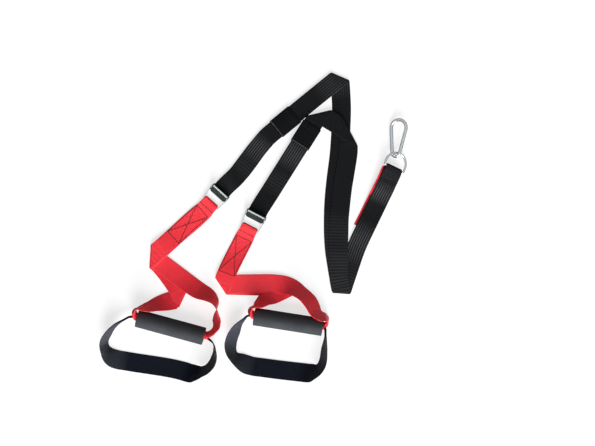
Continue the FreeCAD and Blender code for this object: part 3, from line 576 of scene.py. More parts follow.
def run_stations(run, cloth):
    """Cross sections along one run of strap, a smooth line through its waypoints."""
    places = [Vector(w[:3]) for w in run]
    spans = [(b - a).length for a, b in zip(places, places[1:])]
    slopes = [(b - a) / d for a, b, d in zip(places, places[1:], spans)]
    tangents = [slopes[0]]
    for before, after, near, far in zip(slopes, slopes[1:], spans, spans[1:]):
        tangents.append((before * far + after * near) / (near + far))
    tangents.append(slopes[-1])
    stations = []
    travelled = 0.0
    for k, span in enumerate(spans):
        bend = degrees(tangents[k].angle(tangents[k + 1]))
        change = [abs(b - a) for a, b in zip(run[k][3:], run[k + 1][3:])]
        steps = max(1, ceil(bend / BEND_STEP), ceil(change[0] / ROLL_STEP),
                    ceil(change[2] / CURL_STEP), ceil(span / RUN_STEP))
        for step in range(steps + (k == len(spans) - 1)):
            part = step / steps
            p2, p3 = part ** 2, part ** 3
            place = (places[k] * (2 * p3 - 3 * p2 + 1)
                     + tangents[k] * (span * (p3 - 2 * p2 + part))
                     + places[k + 1] * (3 * p2 - 2 * p3)
                     + tangents[k + 1] * (span * (p3 - p2)))
            slope = (places[k] * (6 * p2 - 6 * part)
                     + tangents[k] * (span * (3 * p2 - 4 * part + 1))
                     + places[k + 1] * (6 * part - 6 * p2)
                     + tangents[k + 1] * (span * (3 * p2 - 2 * part)))
            roll, width, curl = [a + (b - a) * part for a, b in zip(run[k][3:], run[k + 1][3:])]
            across, normal = plan_frame(unit(slope), roll)
            rests = (cloth.thick / 2 * max(1.0, cloth.width / width)
                     + width / 2 * abs(sin(radians(roll))))
            if curl < 1 and place.z < rests:
                place.z = rests                    # an edge rests on the floor
            stations.append(Station(place, across, normal, width, curl,
                                    travelled + span * part, 0.0))
        travelled += span
    return eased(stations), slopes[-1], travelled


def eased(stations):
    """Rounds off the kinks that tight turns leave in a strap's two edges."""
    shares, lines = [], ([], [])
    for s in stations:
        half = radians(max(s.curl, 0.01)) / 2
        shares.append(sin(half) / half)
        for line, side in zip(lines, (-0.5, 0.5)):
            line.append(s.place + s.across * (s.width * shares[-1] * side))
    for line in lines:
        for _ in range(EASE_PASSES):
            for k in range(1, len(line) - 1):
                near, far = line[k] - line[k - 1], line[k + 1] - line[k]
                if near.dot(far) < KINK * near.length * far.length:
                    line[k] = (line[k - 1] + line[k + 1]) / 2
    smooth = []
    for s, share, one, other in zip(stations, shares, *lines):
        across = unit(other - one)
        smooth.append(s._replace(
            place=(one + other) / 2, across=across, width=(other - one).length / share,
            normal=unit(s.normal - across * s.normal.dot(across))))
    return smooth


class Strap:
    """A strap laid along a route of run, fold, run, fold, run.  A waypoint is x, y, z and,
    where they are not plain, roll, width and curl.  A fold is (side, radius): side 1 folds
    the strap up over itself, and -1 down under itself.  A third value pinches its corners,
    and a fourth is the share of the next run's roll that the strap leaves the crease with."""

    def __init__(self, route, cloth):
        self.cloth = cloth
        self.stations = []
        start, rolled, face, trim, travel = None, 1.0, 1.0, 0.0, 0.0
        runs, folds = route[0::2], route[1::2]
        for number, run in enumerate(runs):
            run = [self.filled(w) for w in run]
            if start is not None:
                run.insert(0, (start.x, start.y, start.z, run[0][3] * rolled) + run[0][4:])
            sections, last_slope, length = run_stations(run, cloth)
            stop = length
            fold = folds[number] if number < len(folds) else None
            if fold:
                side, radius, pinch, rolled = tuple(fold) + (PINCH, 1.0)[len(fold) - 2:]
                end, across, above, width = sections[-1][:4]
                start = end + above * (2 * side * radius)
                ahead = Vector(runs[number + 1][0][:3]) - start
                ahead = unit(ahead - above * ahead.dot(above))
                turn = atan2(last_slope.cross(ahead).dot(above), last_slope.dot(ahead))
                crease = turned(last_slope, above, turn / 2)
                forward = unit(last_slope - crease * last_slope.dot(crease))
                reach = width / sin(abs(turn) / 2)
                margin = width / 2 / tan(abs(turn) / 2) + 1.0
                stop = length - margin
                if crease.dot(across * face) < 0:
                    crease = -crease
                shear = crease.dot(last_slope) * reach
            for s in sections:
                if (trim == 0 or s.travel > trim) and (not fold or s.travel < stop):
                    self.stations.append(s._replace(across=s.across * face, normal=s.normal * face,
                                                    travel=travel + s.travel))
            travel += length
            if fold:
                steps = max(8, ceil(4 + 2 * radius))
                for step in range(steps + 1):
                    angle = pi * step / steps
                    place = (end + forward * (radius * sin(angle))
                             + above * (side * radius * (1 - cos(angle))))
                    normal = above * cos(angle) - forward * (side * sin(angle))
                    narrow = reach * (1 - pinch * sin(angle) ** 0.7)
                    self.stations.append(Station(place, crease, normal * face, narrow, 0.0,
                                                 travel + radius * angle, shear))
                travel += pi * radius
                face = -face
                trim = margin
        self.length = travel

    def filled(self, waypoint):
        plain = (0.0, 0.0, 0.0, 0.0, self.cloth.width, 0.0)
        return tuple(waypoint) + plain[len(waypoint):]

    def spot(self, station, share, side=1, thin=1.0):
        """A point of a section: share runs from -0.5 to 0.5 of its width, side is 1 on
        top and -1 below, and thin is how much of the thickness is there."""
        place, across, normal, width, curl = station[:5]
        thick = self.cloth.thick * thin
        if width < self.cloth.width:
            thick *= self.cloth.width / width
        if abs(curl) < 1.0:
            return place + across * (share * width) + normal * (side * thick / 2)
        angle = radians(curl)
        radius = width / angle
        lean = share * angle
        reach = radius - side * thick / 2
        return place + across * (reach * sin(lean)) + normal * (radius - reach * cos(lean))

    def frame_at(self, travel, offset):
        """A place on the upper side and the way out of it, at a distance along the strap
        and an offset from its middle, both in mm."""
        flat = [s for s in self.stations if s.shear == 0]
        later = next(k for k, s in enumerate(flat) if s.travel >= travel or s is flat[-1])
        a, b = flat[max(0, later - 1)], flat[max(1, later)]
        part = (travel - a.travel) / max(1e-6, b.travel - a.travel)
        share = offset / self.cloth.width
        return (self.spot(a, share).lerp(self.spot(b, share), part),
                a.normal.lerp(b.normal, part))


EDGE = [(-0.5, 0.42), (-0.487, 0.78), (-0.462, 1.0)]
INNER = [(-0.4 + 0.1 * k, 1.0) for k in range(9)]
PROFILE = EDGE + INNER + [(-share, thin) for share, thin in EDGE[::-1]]


def strength_at(place, patches):
    """How strongly the strongest of some round patches, (x, y, reach, strength), covers a
    place."""
    return max([strength * max(0.0, 1 - ((place.xy - Vector((x, y))).length / reach) ** 2)
                for x, y, reach, strength in patches] + [0.0])


def strap_object(name, strap, material, polish_and_sheen_spots=(), dusty=()):
    """The strap's closed skin, with a UV map in metres: across, and along its length.
    The first list gives spots that are rubbed smooth and carry a painted sheen, the second
    dusty spots, each as (x, y, reach, strength) in mm."""
    mesh = bmesh.new()
    flat = mesh.loops.layers.uv.new("Webbing")
    layers = [mesh.verts.layers.float.new(label) for label in WEAR]
    folds = [s.travel for s in strap.stations if s.shear]
    rings, maps = [], []
    for s in strap.stations:
        ring, places = [], []
        near_fold = min([abs(s.travel - t) for t in folds] + [1000.0])
        wear = (strength_at(s.place, polish_and_sheen_spots), strength_at(s.place, dusty),
                exp(-near_fold / CREASE_REACH))
        for side, points in ((1, PROFILE), (-1, PROFILE[::-1])):
            for share, thin in points:
                vertex = mesh.verts.new(strap.spot(s, share, side, thin) * MM)
                for layer, strength in zip(layers, wear):
                    vertex[layer] = strength
                ring.append(vertex)
                over = strap.cloth.width * (share + 0.5 if side == 1 else 1.5 - share)
                places.append((over * MM, (s.travel + share * s.shear) * MM))
        rings.append(ring)
        maps.append(places)
    count = len(rings[0])
    whole_turn = 2 * strap.cloth.width * MM

    def mapped(row, column):
        across, along_it = maps[row][column % count]
        return (across + whole_turn if column == count else across, along_it)

    bridge(mesh, rings, flat, mapped)
    for ring, places in ((rings[0], maps[0]), (rings[-1], maps[-1])):
        for i in range(count // 2 - 1):
            quad = (i, i + 1, count - 2 - i, count - 1 - i)
            face = mesh.faces.new([ring[q] for q in quad])
            for loop, q in zip(face.loops, quad):
                loop[flat].uv = places[q]
    return finished(name, mesh, material)


def bridge(mesh, rings, flat=None, mapped=None):
    """Faces between each ring of a tube and the next.  mapped gives the UV place of a row
    and a column, where the column after the last closes the turn."""
    count = len(rings[0])
    for k in range(len(rings) - 1):
        for i in range(count):
            corners = (k, i), (k, i + 1), (k + 1, i + 1), (k + 1, i)
            face = mesh.faces.new([rings[row][column % count] for row, column in corners])
            if flat:
                for loop, corner in zip(face.loops, corners):
                    loop[flat].uv = mapped(*corner)


def finished(name, mesh, material, angle=35.0):
    """A new piece from a bmesh, smooth except at sharp edges."""
    bmesh.ops.recalc_face_normals(mesh, faces=mesh.faces)
    data = bpy.data.meshes.new(name)
    mesh.to_mesh(data)
    mesh.free()
    data.materials.append(material)
    piece = bpy.data.objects.new(name, data)
    bpy.context.scene.collection.objects.link(piece)
    choose(piece)
    bpy.ops.object.shade_smooth_by_angle(angle=radians(angle))
    piece.select_set(False)
    return piece


def choose(*pieces):
    """Nothing but these pieces selected."""
    bpy.ops.object.select_all(action="DESELECT")
    for piece in pieces:
        piece.select_set(True)
        bpy.context.view_layer.objects.active = piece


# ------------------------------------------------------------------ routes, in mm
ANCHOR_HEADING = 64.2        # way of the run up to the D-ring, in degrees
RING_ROLL = 19.0             # the strap's roll at the ring, in degrees
ROLL_RUN = 95.0              # distance from the ring over which that roll dies away
KEEPER_HEADING = 39.5        # way of the straight stretch in the left keeper, in degrees


def along(start, heading, distance, height=0.0):
    """The place at a distance from start, in the direction of a heading."""
    angle = radians(heading)
    return Vector((start.x + distance * cos(angle), start.y + distance * sin(angle),
                   height))


def xyz(place, *more):
    return (place.x, place.y, place.z) + more


class Levels:
    """Heights of the layers' middles, and bend radii, in mm."""

    def __init__(self, cloth, wall=KEEPER_WALL, base=1.8, wire=4.4, bar=4.0):
        self.left = cloth.first + 2 * cloth.pitch
        self.right = cloth.first + cloth.pitch
        self.buckle = cloth.thick + cloth.gap + base + 0.1 + cloth.first
        self.buckle_turn = (self.buckle - cloth.first) / 2
        self.handle = cloth.first + wall + cloth.gap + cloth.pitch
        self.top_fold = (self.handle - cloth.first) / 2
        self.over = cloth.tight + 0.25
        self.folded = self.right + 4 * self.over
        self.ring_wrap = wire / 2 + cloth.gap + cloth.first
        self.bar_loop = bar / 2 + cloth.gap + cloth.first


def long_strap_routes(cloth, level):
    """The two long straps and the red backing, from the D-ring to their tails."""
    ring_bar = Vector((277.2, 117.4, level.left))
    keeper_middle = Vector((64.2, 214.6, level.handle))
    fold_place = Vector((127.9, 227.1, level.folded))
    slope_foot = Vector((26.7, 66.2, level.buckle + 0.5))
    over_ring = level.left + 2 * level.ring_wrap

    def anchor(distance, height, shift=0.0):
        """Distance back from the ring bar, height of the layer, shift to the left.  The
        twist lifts the middle of the layer and dies away along the strap."""
        roll = RING_ROLL * max(0.0, 1 - distance / ROLL_RUN)
        place = along(ring_bar, ANCHOR_HEADING, -distance)
        place = along(place, ANCHOR_HEADING + 90, shift)
        place.z = height + (cloth.width / 2 + shift) * sin(radians(roll))
        return xyz(place, roll)

    def away(distance, height, shift=0.0):
        """The same for a run that leads away from the ring."""
        x, y, z, roll = anchor(distance, height, shift)
        return (x, y, z, -roll)

    def upper(distance, rise=0.0):
        """The straight stretch where the left keeper slides."""
        return xyz(along(keeper_middle, KEEPER_HEADING, distance, level.handle + rise))

    def lower(distance, rise=0.0):
        """The slope where the right keeper slides, from its foot upwards."""
        slope = fold_place - slope_foot
        return xyz(slope_foot + slope * (distance / slope.length) + Vector((0, 0, rise)))

    left = [
        [anchor(52, level.left + cloth.pitch), anchor(25, level.left + cloth.pitch),
         anchor(14, over_ring - 2.2), anchor(5, over_ring) + (37.0,),
         anchor(0, over_ring) + (37.0,)],
        (-1, level.ring_wrap),
        [away(8, level.left, 2.1) + (37.0,), away(32, level.left), away(70, level.left),
         away(105, level.left), (217, -7, level.left), (203.5, -36.5, level.right),
         (187, -83, level.right), (172, -128.5, level.right)],
        (1, cloth.tight),
        [(162.6, -75, 4.8), (158.4, -47, 4.5), (156.2, -15, 2.1), (156, 20, cloth.first),
         (157, 49, cloth.first), (161, 93, cloth.first), (167.4, 143.6, cloth.first),
         (171, 195, cloth.first), (172.3, 240, cloth.first), (171, 270, cloth.first),
         (169, 300, cloth.first)],
        (1, level.top_fold),
        [upper(60), upper(-44), upper(-47), (12.5, 167.5, level.handle),
         (-34.8, 106.3, level.buckle), (-61.4, 80.2, level.buckle),
         (-75.5, 64.6, level.buckle)],
        (-1, level.buckle_turn),
        [(-61.4, 80.2, cloth.first), (-34.8, 106.3, level.handle - cloth.pitch),
         (-31.6, 110.5, level.handle - cloth.pitch), (12.5, 167.5, level.handle - cloth.pitch),
         upper(-47, -cloth.pitch), upper(-44, -cloth.pitch), upper(26, -cloth.pitch)],
    ]
    twice_over = level.right + 2 * level.over
    right = [
        [away(68, level.right), away(105, level.right), away(136, level.right),
         (203.5, -36.5, cloth.first), (187, -83, cloth.first), (172, -128.5, cloth.first)],
        (1, cloth.tight + cloth.pitch),
        [(166.3, -96, 6.65), (165.9, -75, 6.6), (166.1, -47, 6.3), (167, -15, 3.9),
         (168, 20, level.right), (170.5, 45, level.right), (174.5, 80, level.right),
         (179.5, 110, level.right), (185, 145, level.right), (188, 191, level.right)],
        (1, level.over),
        [(155, 210.8, twice_over), (127.9, 227.1, twice_over)],
        (1, level.over),
        [lower(100), lower(0), (7.7, 36.1, level.buckle), (-2.0, 17.5, level.buckle)],
        (-1, level.buckle_turn),
        [(7.7, 36.1, cloth.first), lower(0, -cloth.pitch), lower(6, -cloth.pitch),
         lower(168, -cloth.pitch)],
    ]
    backing = [
        [anchor(65, level.right, 4), anchor(30, level.right, 4.5), anchor(4, level.right, 5)],
        (-1, cloth.pitch / 2),
        [away(30, cloth.first, 4.5), away(70, cloth.first, 4.5), away(100, cloth.first, 4.5),
         away(135, cloth.first, 5)],
    ]
    return left, right, backing


class Grip:
    """Where a grip lies, from its spinning joint."""

    def __init__(self, side, cloth):
        self.middle = seat(side + "_grip_spin")
        self.heading = bearing(side + "_grip_spin")
        self.mouth = GRIP_TUBE / 2 + 1             # just outside the tube's end
        self.lined = TUBE_BORE - BORE_ROOM - cloth.first
        self.curl = degrees(cloth.width / self.lined)
        self.cloth = cloth

    def at(self, forward, left, level, *more):
        place = along(along(self.middle, self.heading, forward), self.heading + 90, left)
        return (place.x, place.y, level) + more

    def curled(self, *places):
        return [self.at(forward, self.lined, self.middle.z, 90, self.cloth.width, self.curl)
                for forward in places]

    def bundled(self, *places):
        return [self.at(forward, 0, self.middle.z, -90, self.cloth.width / 3)
                for forward in places]


def at_bar(side, towards, cloth, level):
    """Waypoints of the loop round a buckle's cross bar: below it, or back above it."""
    bar = seat(side + "_handle_swing")
    heading = bearing(side + "_handle_swing") - 90
    loop = [xyz(along(bar, heading, -22, cloth.first if towards else 3.0), 0, 37.5),
            xyz(along(bar, heading, -11, 0.9 if towards else 5.6), 0, 35.0),
            xyz(along(bar, heading, 0, bar.z - level.bar_loop), 0, 34.0)]
    return loop if towards else loop[1::-1]


def left_handle_route(grip, cloth, level):
    mouth, wide = grip.mouth, cloth.width
    return [
        grip.curled(0.5, mouth - 5, mouth) + [
            grip.at(76.5, 13, 19.5, 96, wide, 130), grip.at(83, 21.5, 21.5, 112, wide, 36),
            grip.at(86.5, 32, 22.5, 124), (-77, -176, 22.5, 112), (-76.5, -164.4, 22, 96),
            (-80, -149, 20.3, 70), (-89.5, -138, 17, 50), (-115, -124, 10, 25),
            (-138, -108.5, 6.5, 13), (-155, -96, 4.5, 6), (-178, -79, 2.7),
            (-206.4, -58.5, level.right)],
        (1, 1.3),
        [(-183, -37.5, 4.6), (-160, -16.5, 1.2)] + at_bar("left", True, cloth, level),
        (1, level.bar_loop),
        at_bar("left", False, cloth, level) + [
            (-112, 26.8, level.right), (-160, -16.5, 3.1), (-183, -37.5, 6.95),
            (-206.4, -57.6, 7.0)],
        (-1, 3.1),
        [(-182, -84.8, cloth.first), (-168, -103, 2.6), (-157, -121, 5.6, 0, 36),
         (-147, -141.5, 5.8, 0, 34)],
        (-1, 2.4, 0.16, 0.2),
        [grip.at(-20, 47, 8.5, 20), grip.at(-38, 37, 14.5, 42), grip.at(-54, 27, 18.5, 60),
         grip.at(-64, 23, 20.2, 72), grip.at(-71, 20.5, 20.4, 82),
         grip.at(-75.2, 14.8, 20, 90, wide, 20)] + grip.curled(-mouth, 5 - mouth, -0.5),
    ]


def right_handle_route(grip, cloth, level):
    mouth, wide = grip.mouth, cloth.width
    return [
        grip.curled(0.5, mouth - 5, mouth) + [
            grip.at(74.3, 11, 19, 90, wide, 40), grip.at(76.6, 15.5, 20.2, 88, wide, 12),
            grip.at(71.5, 21, 22.5, 72),
            (126.4, -175.5, 24.5, 54), (111, -149, 22, 42), (90.5, -128.5, 18, 50),
            (64, -116, 9.5, 20), (45, -113, 6.3, 4), (0, -112.3, 4.6), (-35, -113, 2.9),
            (-66, -114.3, level.right)],
        (1, 1.3),
        [(-55, -87, 4.6), (-45, -66, 1.2)] + at_bar("right", True, cloth, level),
        (1, level.bar_loop),
        at_bar("right", False, cloth, level) + [
            (-23, -23, level.right), (-45, -66, 3.1), (-55, -87, 6.95), (-66, -115, 7.0)],
        (-1, 3.1),
        [(-20, -116.5, cloth.first), (69, -118, cloth.first)],
        (1, cloth.tight),
        [(42, -131.5, 7, 10), (22, -142, 13.5, 38), (6, -153.5, 19, 64),
         grip.at(-71, 20.3, 20.4, 82), grip.at(-75, 14.6, 20, 90, wide, 20)]
        + grip.curled(-mouth, 5 - mouth, -0.5),
    ]


def loop_route(side, grip, cloth):
    """A foot loop, out of one end of its grip's tube and round into the other."""
    mouth = grip.mouth
    round_it = {
        "left": [
            (-261, -183.4, 18, -88, 16), (-277, -193.5, 18.2, -78, 24), (-292, -211, 19, -71, 34),
            (-300.6, -229, 18.9, -70), (-298, -243, 18.2, -64), (-290, -256, 13.4, -40),
            (-277, -263.5, 3.6, -8), (-262, -266.4, cloth.first), (-140, -288.3, 0.9),
            (-131, -291, 4.4, -10), (-120, -290.5, 13.4, -40), (-107, -287, 17.8, -62),
            (-95, -280.8, 18.4, -66), (-86, -270.5, 18.6, -67), (-81.5, -258, 19, -71),
            (-80.5, -246, 18.6, -78, 34), (-83, -231, 18, -86, 26),
            grip.at(80, -3, 18, -90, 16)],
        "right": [
            (-23, -183.5, 18, -78, 20), (-32, -193, 18.4, -66, 30), (-39.5, -205.5, 18, -57),
            (-46, -220, 17, -54), (-49, -233.5, 16.8, -53), (-48, -246, 17.4, -58),
            (-42.5, -257, 17.6, -62), (-34, -264.5, 15, -48), (-23, -271, 8, -22),
            (-8, -276.8, 1.5, -2), (13.5, -280, cloth.first), (96.5, -290, 0.9),
            (105, -290.8, 4.8, -12), (114, -288.8, 12.6, -38), (122.5, -285, 17, -58),
            (130, -278, 18.2, -66), (135, -266, 18.6, -68), (137, -250, 18.9, -71),
            (138.3, -234, 18.6, -74, 36), (140, -219, 18, -84, 24),
            (139.8, -208.4, 18, -88, 15), grip.at(74, -1.5, 18, -90, 13)],
    }[side]
    return [grip.bundled(-1, 5 - mouth, -mouth) + [grip.at(-80, 0.5, 18, -90, 13)] + round_it
            + grip.bundled(mouth, mouth - 5, 1)]


STRAPS = {}
RUN_DUST = [(148, -15, 50, 0.8), (150, -70, 50, 1.0), (160, -112, 42, 1.0)]
# Spots on the foot loops' upright sides whose yarns get a painted sheen, and are rubbed smoother.
LOOP_POLISH_AND_SHEEN = {"left": [(-303, -230, 62, 0.75), (-84, -262, 42, 0.4)],
               "right": [(-46, -225, 70, 0.8), (136, -258, 48, 0.4)]}


def lay(name, route, cloth, finish, body, polish_and_sheen_spots=(), dusty=()):
    """Lays a strap along its route, hides the solid it stands for, and ties it to its body."""
    strap = STRAPS[name] = Strap(route, cloth)
    piece = strap_object(name + "_cloth", strap, FINISHES[finish], polish_and_sheen_spots, dusty)
    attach(piece, body)
    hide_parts(name)


# ------------------------------------------------------------------ operators
class TrainerOperator:
    """What all the operators share."""

    bl_options = {"REGISTER", "UNDO"}

    def shared(self, context):
        if not FINISHES:
            make_finishes(context.scene)
        cloth = Webbing(context.scene.trainer_webbing)
        return cloth, Levels(cloth)


class TRAINER_OT_long_straps(TrainerOperator, bpy.types.Operator):
    """Add the two long black straps and the red backing behind the D-ring"""

    bl_idname = "trainer.long_straps"
    bl_label = "Long straps"

    def execute(self, context):
        cloth, level = self.shared(context)
        left, right, backing = long_strap_routes(cloth, level)
        # Spots of painted sheen on the black ribs, also rubbed smoother, then dusty spots.
        lay("left_long_strap", left, cloth, "black", "webbing",
            [(151, 287, 38, 0.5), (7, 155, 30, 0.9), (-58, 88, 18, 0.25), (251, 69, 24, 1.0),
             (213, -33, 46, 0.9)], RUN_DUST + [(-23, 125, 24, 0.6)])
        lay("right_long_strap", right, cloth, "black", "webbing",
            [(83, 139, 34, 1.0)], RUN_DUST + [(45, 91, 28, 0.6)])
        lay("anchor_backing", backing, cloth, "red", "webbing")
        return {"FINISHED"}


class TRAINER_OT_handle_straps(TrainerOperator, bpy.types.Operator):
    """Add the red handle straps, from their buckles through the grips"""

    bl_idname = "trainer.handle_straps"
    bl_label = "Handle straps"

    def execute(self, context):
        cloth, level = self.shared(context)
        for side, route in (("left", left_handle_route), ("right", right_handle_route)):
            lay(side + "_red_strap", route(Grip(side, cloth), cloth, level), cloth, "red",
                side + "_handle")
        return {"FINISHED"}


class TRAINER_OT_foot_loops(TrainerOperator, bpy.types.Operator):
    """Add the foot loops that hang from the grips"""

    bl_idname = "trainer.foot_loops"
    bl_label = "Foot loops"

    def execute(self, context):
        cloth, _ = self.shared(context)
        for side in SIDES:
            lay(side + "_foot_loop", loop_route(side, Grip(side, cloth), cloth), cloth, "navy",
                side + "_loop", LOOP_POLISH_AND_SHEEN[side])
        return {"FINISHED"}


class TRAINER_OT_keepers(TrainerOperator, bpy.types.Operator):
    """Add the webbing sleeves that hold the straps' tails"""

    bl_idname = "trainer.keepers"
    bl_label = "Keepers"

    def execute(self, context):
        cloth, _ = self.shared(context)
        for side in SIDES:
            piece = self.sleeve(side, cloth)
            name = side + "_keeper"
            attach(piece, side + "_sleeve")
            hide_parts(name)
        return {"FINISHED"}

    def sleeve(self, side, cloth, outer_corner=1.5, inner_corner=0.4, rim=0.8):
        """A flat tube of webbing with round corners, open at both ends."""
        name = side + "_keeper"
        way = -Vector(joint(name + "_slide")["axis"])
        across, above = level_frame(way)
        centre = middle(name) / MM
        wide = cloth.width / 2 + cloth.gap
        tall = keeper_top(cloth) - KEEPER_WALL

        def outline(grow, corner):
            points = []
            for quarter, (sx, sz) in enumerate(((1, 1), (-1, 1), (-1, -1), (1, -1))):
                for step in range(5):
                    angle = radians(90 * quarter + 22.5 * step)
                    points.append(((wide + grow - corner) * sx + corner * cos(angle),
                                   (tall + grow - corner) * sz + corner * sin(angle)))
            return points

        outer, inner = outline(KEEPER_WALL, outer_corner), outline(0.0, inner_corner)
        reach = [0.0]
        for a, b in zip(outer, outer[1:] + outer[:1]):
            reach.append(reach[-1] + dist(a, b))
        half = KEEPER_LENGTH / 2
        rows = [-half, -half + rim] + [half * k / 4 for k in range(-3, 4)] + [half - rim, half]
        rows = [(-half, inner)] + [(row, outer) for row in rows] + [(half, inner)]
        mesh = bmesh.new()
        flat = mesh.loops.layers.uv.new("Webbing")
        rings = []
        for distance, shape in rows:
            squeeze = 0.94 if shape is outer and abs(distance) >= half - 0.5 else 1.0
            rings.append([mesh.verts.new((centre + way * distance + across * x
                                          + above * (z * squeeze)) * MM) for x, z in shape])
        rings.append(rings[0])
        rows.append(rows[0])
        bridge(mesh, rings, flat,
               lambda row, column: ((rows[row][0] + half) * MM, reach[column] * MM))
        return finished(name + "_cloth", mesh, FINISHES["plain"], 50.0)


def keeper_top(cloth):
    """Height of a keeper's upper face over the middle of the two layers in it."""
    return cloth.pitch / 2 + cloth.thick / 2 + cloth.gap + KEEPER_WALL


class TRAINER_OT_grips(TrainerOperator, bpy.types.Operator):
    """Add the foam sleeves of the grips"""

    bl_idname = "trainer.grips"
    bl_label = "Grips"

    def execute(self, context):
        self.shared(context)
        for side in SIDES:
            piece = self.foam(side)
            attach(piece, side + "_grip")
            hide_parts(side + "_grip_foam")
            dress(side + "_grip_core", "tube")
        return {"FINISHED"}

    def foam(self, side, length=138.0, outside=18.0, bore=13.0, spokes=72):
        """A foam tube with soft rims, very slightly uneven, as cut from a long sleeve."""
        centre = seat(side + "_grip_spin")
        way = Vector(joint(side + "_grip_spin")["axis"])
        left, above = level_frame(way)
        half = length / 2
        profile = [(-half, bore + 0.05), (-half, outside - 1.6)]
        profile += [(-half + 1.5 - 1.5 * cos(radians(a)),
                     outside - 1.6 + 1.5 * sin(radians(a))) for a in (22.5, 45, 67.5, 90)]
        profile += [(half * k / 8, outside - 0.1) for k in range(-7, 8)]
        profile += [(-x, r) for x, r in profile[5::-1]]
        seeded = random.Random(side)
        swell = [seeded.uniform(-0.12, 0.0) for _ in profile]
        mesh = bmesh.new()
        rings = []
        for (x, radius), dent in zip(profile, swell):
            ring = []
            for k in range(spokes):
                angle = 2 * pi * k / spokes
                reach = radius + (dent if radius > bore + 1 else 0.0)
                ring.append(mesh.verts.new((centre + way * x + left * (reach * cos(angle))
                                            + above * (reach * sin(angle))) * MM))
            rings.append(ring)
        rings.append(rings[0])
        bridge(mesh, rings)
        return finished(side + "_foam", mesh, FINISHES["foam"], 50.0)


BOX_NEAR, BOX_FAR = 26.0, 104.0           # a box patch's ends, in mm from the buckle's bar
ANCHOR_ROWS = (4.0, 7.5, 30.0, 33.5)      # in mm from the start of the long strap


class TRAINER_OT_stitching(TrainerOperator, bpy.types.Operator):
    """Sew the straps: box and cross patches by the buckles, rows at the ends"""

    bl_idname = "trainer.stitching"
    bl_label = "Stitching"

    def execute(self, context):
        cloth, _ = self.shared(context)
        sewing = context.scene.trainer_webbing
        for side in SIDES:
            strap = STRAPS[side + "_red_strap"]
            bar = seat(side + "_handle_swing")
            top = self.passing(strap, bar, 3.0)
            near, far, edge = top + BOX_NEAR, top + BOX_FAR, cloth.width / 2 - 2.4
            first = near - 12.0
            rows = [((near, -edge), (near, edge)), ((far, -edge), (far, edge)),
                    ((near, -edge), (far, -edge)), ((near, edge), (far, edge)),
                    ((near, -edge), (far, edge)), ((near, edge), (far, -edge)),
                    ((first, -edge - 1), (first, edge + 1))]
            self.sew(side + "_box_stitching", strap, rows, side + "_handle", sewing)
        edge = cloth.width / 2 - 2.0
        rows = [((row, -edge), (row, edge)) for row in ANCHOR_ROWS]
        self.sew("anchor_stitching", STRAPS["left_long_strap"], rows, "webbing", sewing)
        for side in SIDES:
            self.hem(side, cloth, sewing)
        return {"FINISHED"}

    def hem(self, side, cloth, sewing):
        """A pale seam across the top of a keeper, near its edge towards the buckle."""
        way = Vector(joint(side + "_keeper_slide")["axis"])
        across, _ = level_frame(way)
        start = (middle(side + "_keeper") / MM + way * (KEEPER_LENGTH / 2 - 2.0)
                 + UP * keeper_top(cloth))
        radius, count = sewing.thread / MM / 3, 9
        mesh = bmesh.new()
        for k in range(count):
            ends = [start + across * (cloth.width * ((k + turn) / count - 0.5))
                    for turn in (0.06, 0.94)]
            self.stitch(mesh, *ends, UP, radius)
        piece = finished(side + "_keeper_seam", mesh, FINISHES["pale_thread"], 60.0)
        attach(piece, side + "_sleeve")

    def passing(self, strap, place, height):
        """Distance along a strap where it passes nearest to a place, above a height."""
        near = [s for s in strap.stations if s.place.z > height]
        return min(near, key=lambda s: (s.place.xy - place.xy).length).travel

    def sew(self, name, strap, rows, body, sewing):
        """Short stitches along rows given as two (along, offset) places on the strap."""
        mesh = bmesh.new()
        radius, reach = sewing.thread / MM / 2, sewing.stitch / MM
        for (a, b), (c, d) in rows:
            length = hypot(c - a, d - b)
            count = max(1, round(length / (reach * 1.12)))
            for k in range(count):
                part = (k + 0.5) / count
                (start, out), (end, _) = [
                    strap.frame_at(a + (c - a) * share, b + (d - b) * share)
                    for share in (part - reach / 2 / length, part + reach / 2 / length)]
                self.stitch(mesh, start, end, out, radius)
        piece = finished(name, mesh, FINISHES["thread"], 60.0)
        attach(piece, body)

    def stitch(self, mesh, start, end, out, radius):
        """One stitch: a plump thread whose ends dive into the cloth."""
        way = unit(end - start)
        aside = unit(out.cross(way))
        rings = []
        for share, size, lift in ((0.0, 0.45, -0.6), (0.12, 0.9, 0.0), (0.5, 1.0, 0.35),
                                  (0.88, 0.9, 0.0), (1.0, 0.45, -0.6)):
            centre = start.lerp(end, share) + out * (radius * lift)
            rings.append([mesh.verts.new((centre + (aside * cos(a) + out * sin(a))
                                          * (radius * size)) * MM)
                          for a in (radians(60 * k) for k in range(6))])
        bridge(mesh, rings)
        mesh.faces.new(rings[0])
        mesh.faces.new(rings[-1])


def dress(name, finish):
    """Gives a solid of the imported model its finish."""
    solid = frame["nodes"][name]
    if not solid.material_slots:
        solid.data.materials.append(FINISHES[finish])
    for place in solid.material_slots:
        place.material = FINISHES[finish]


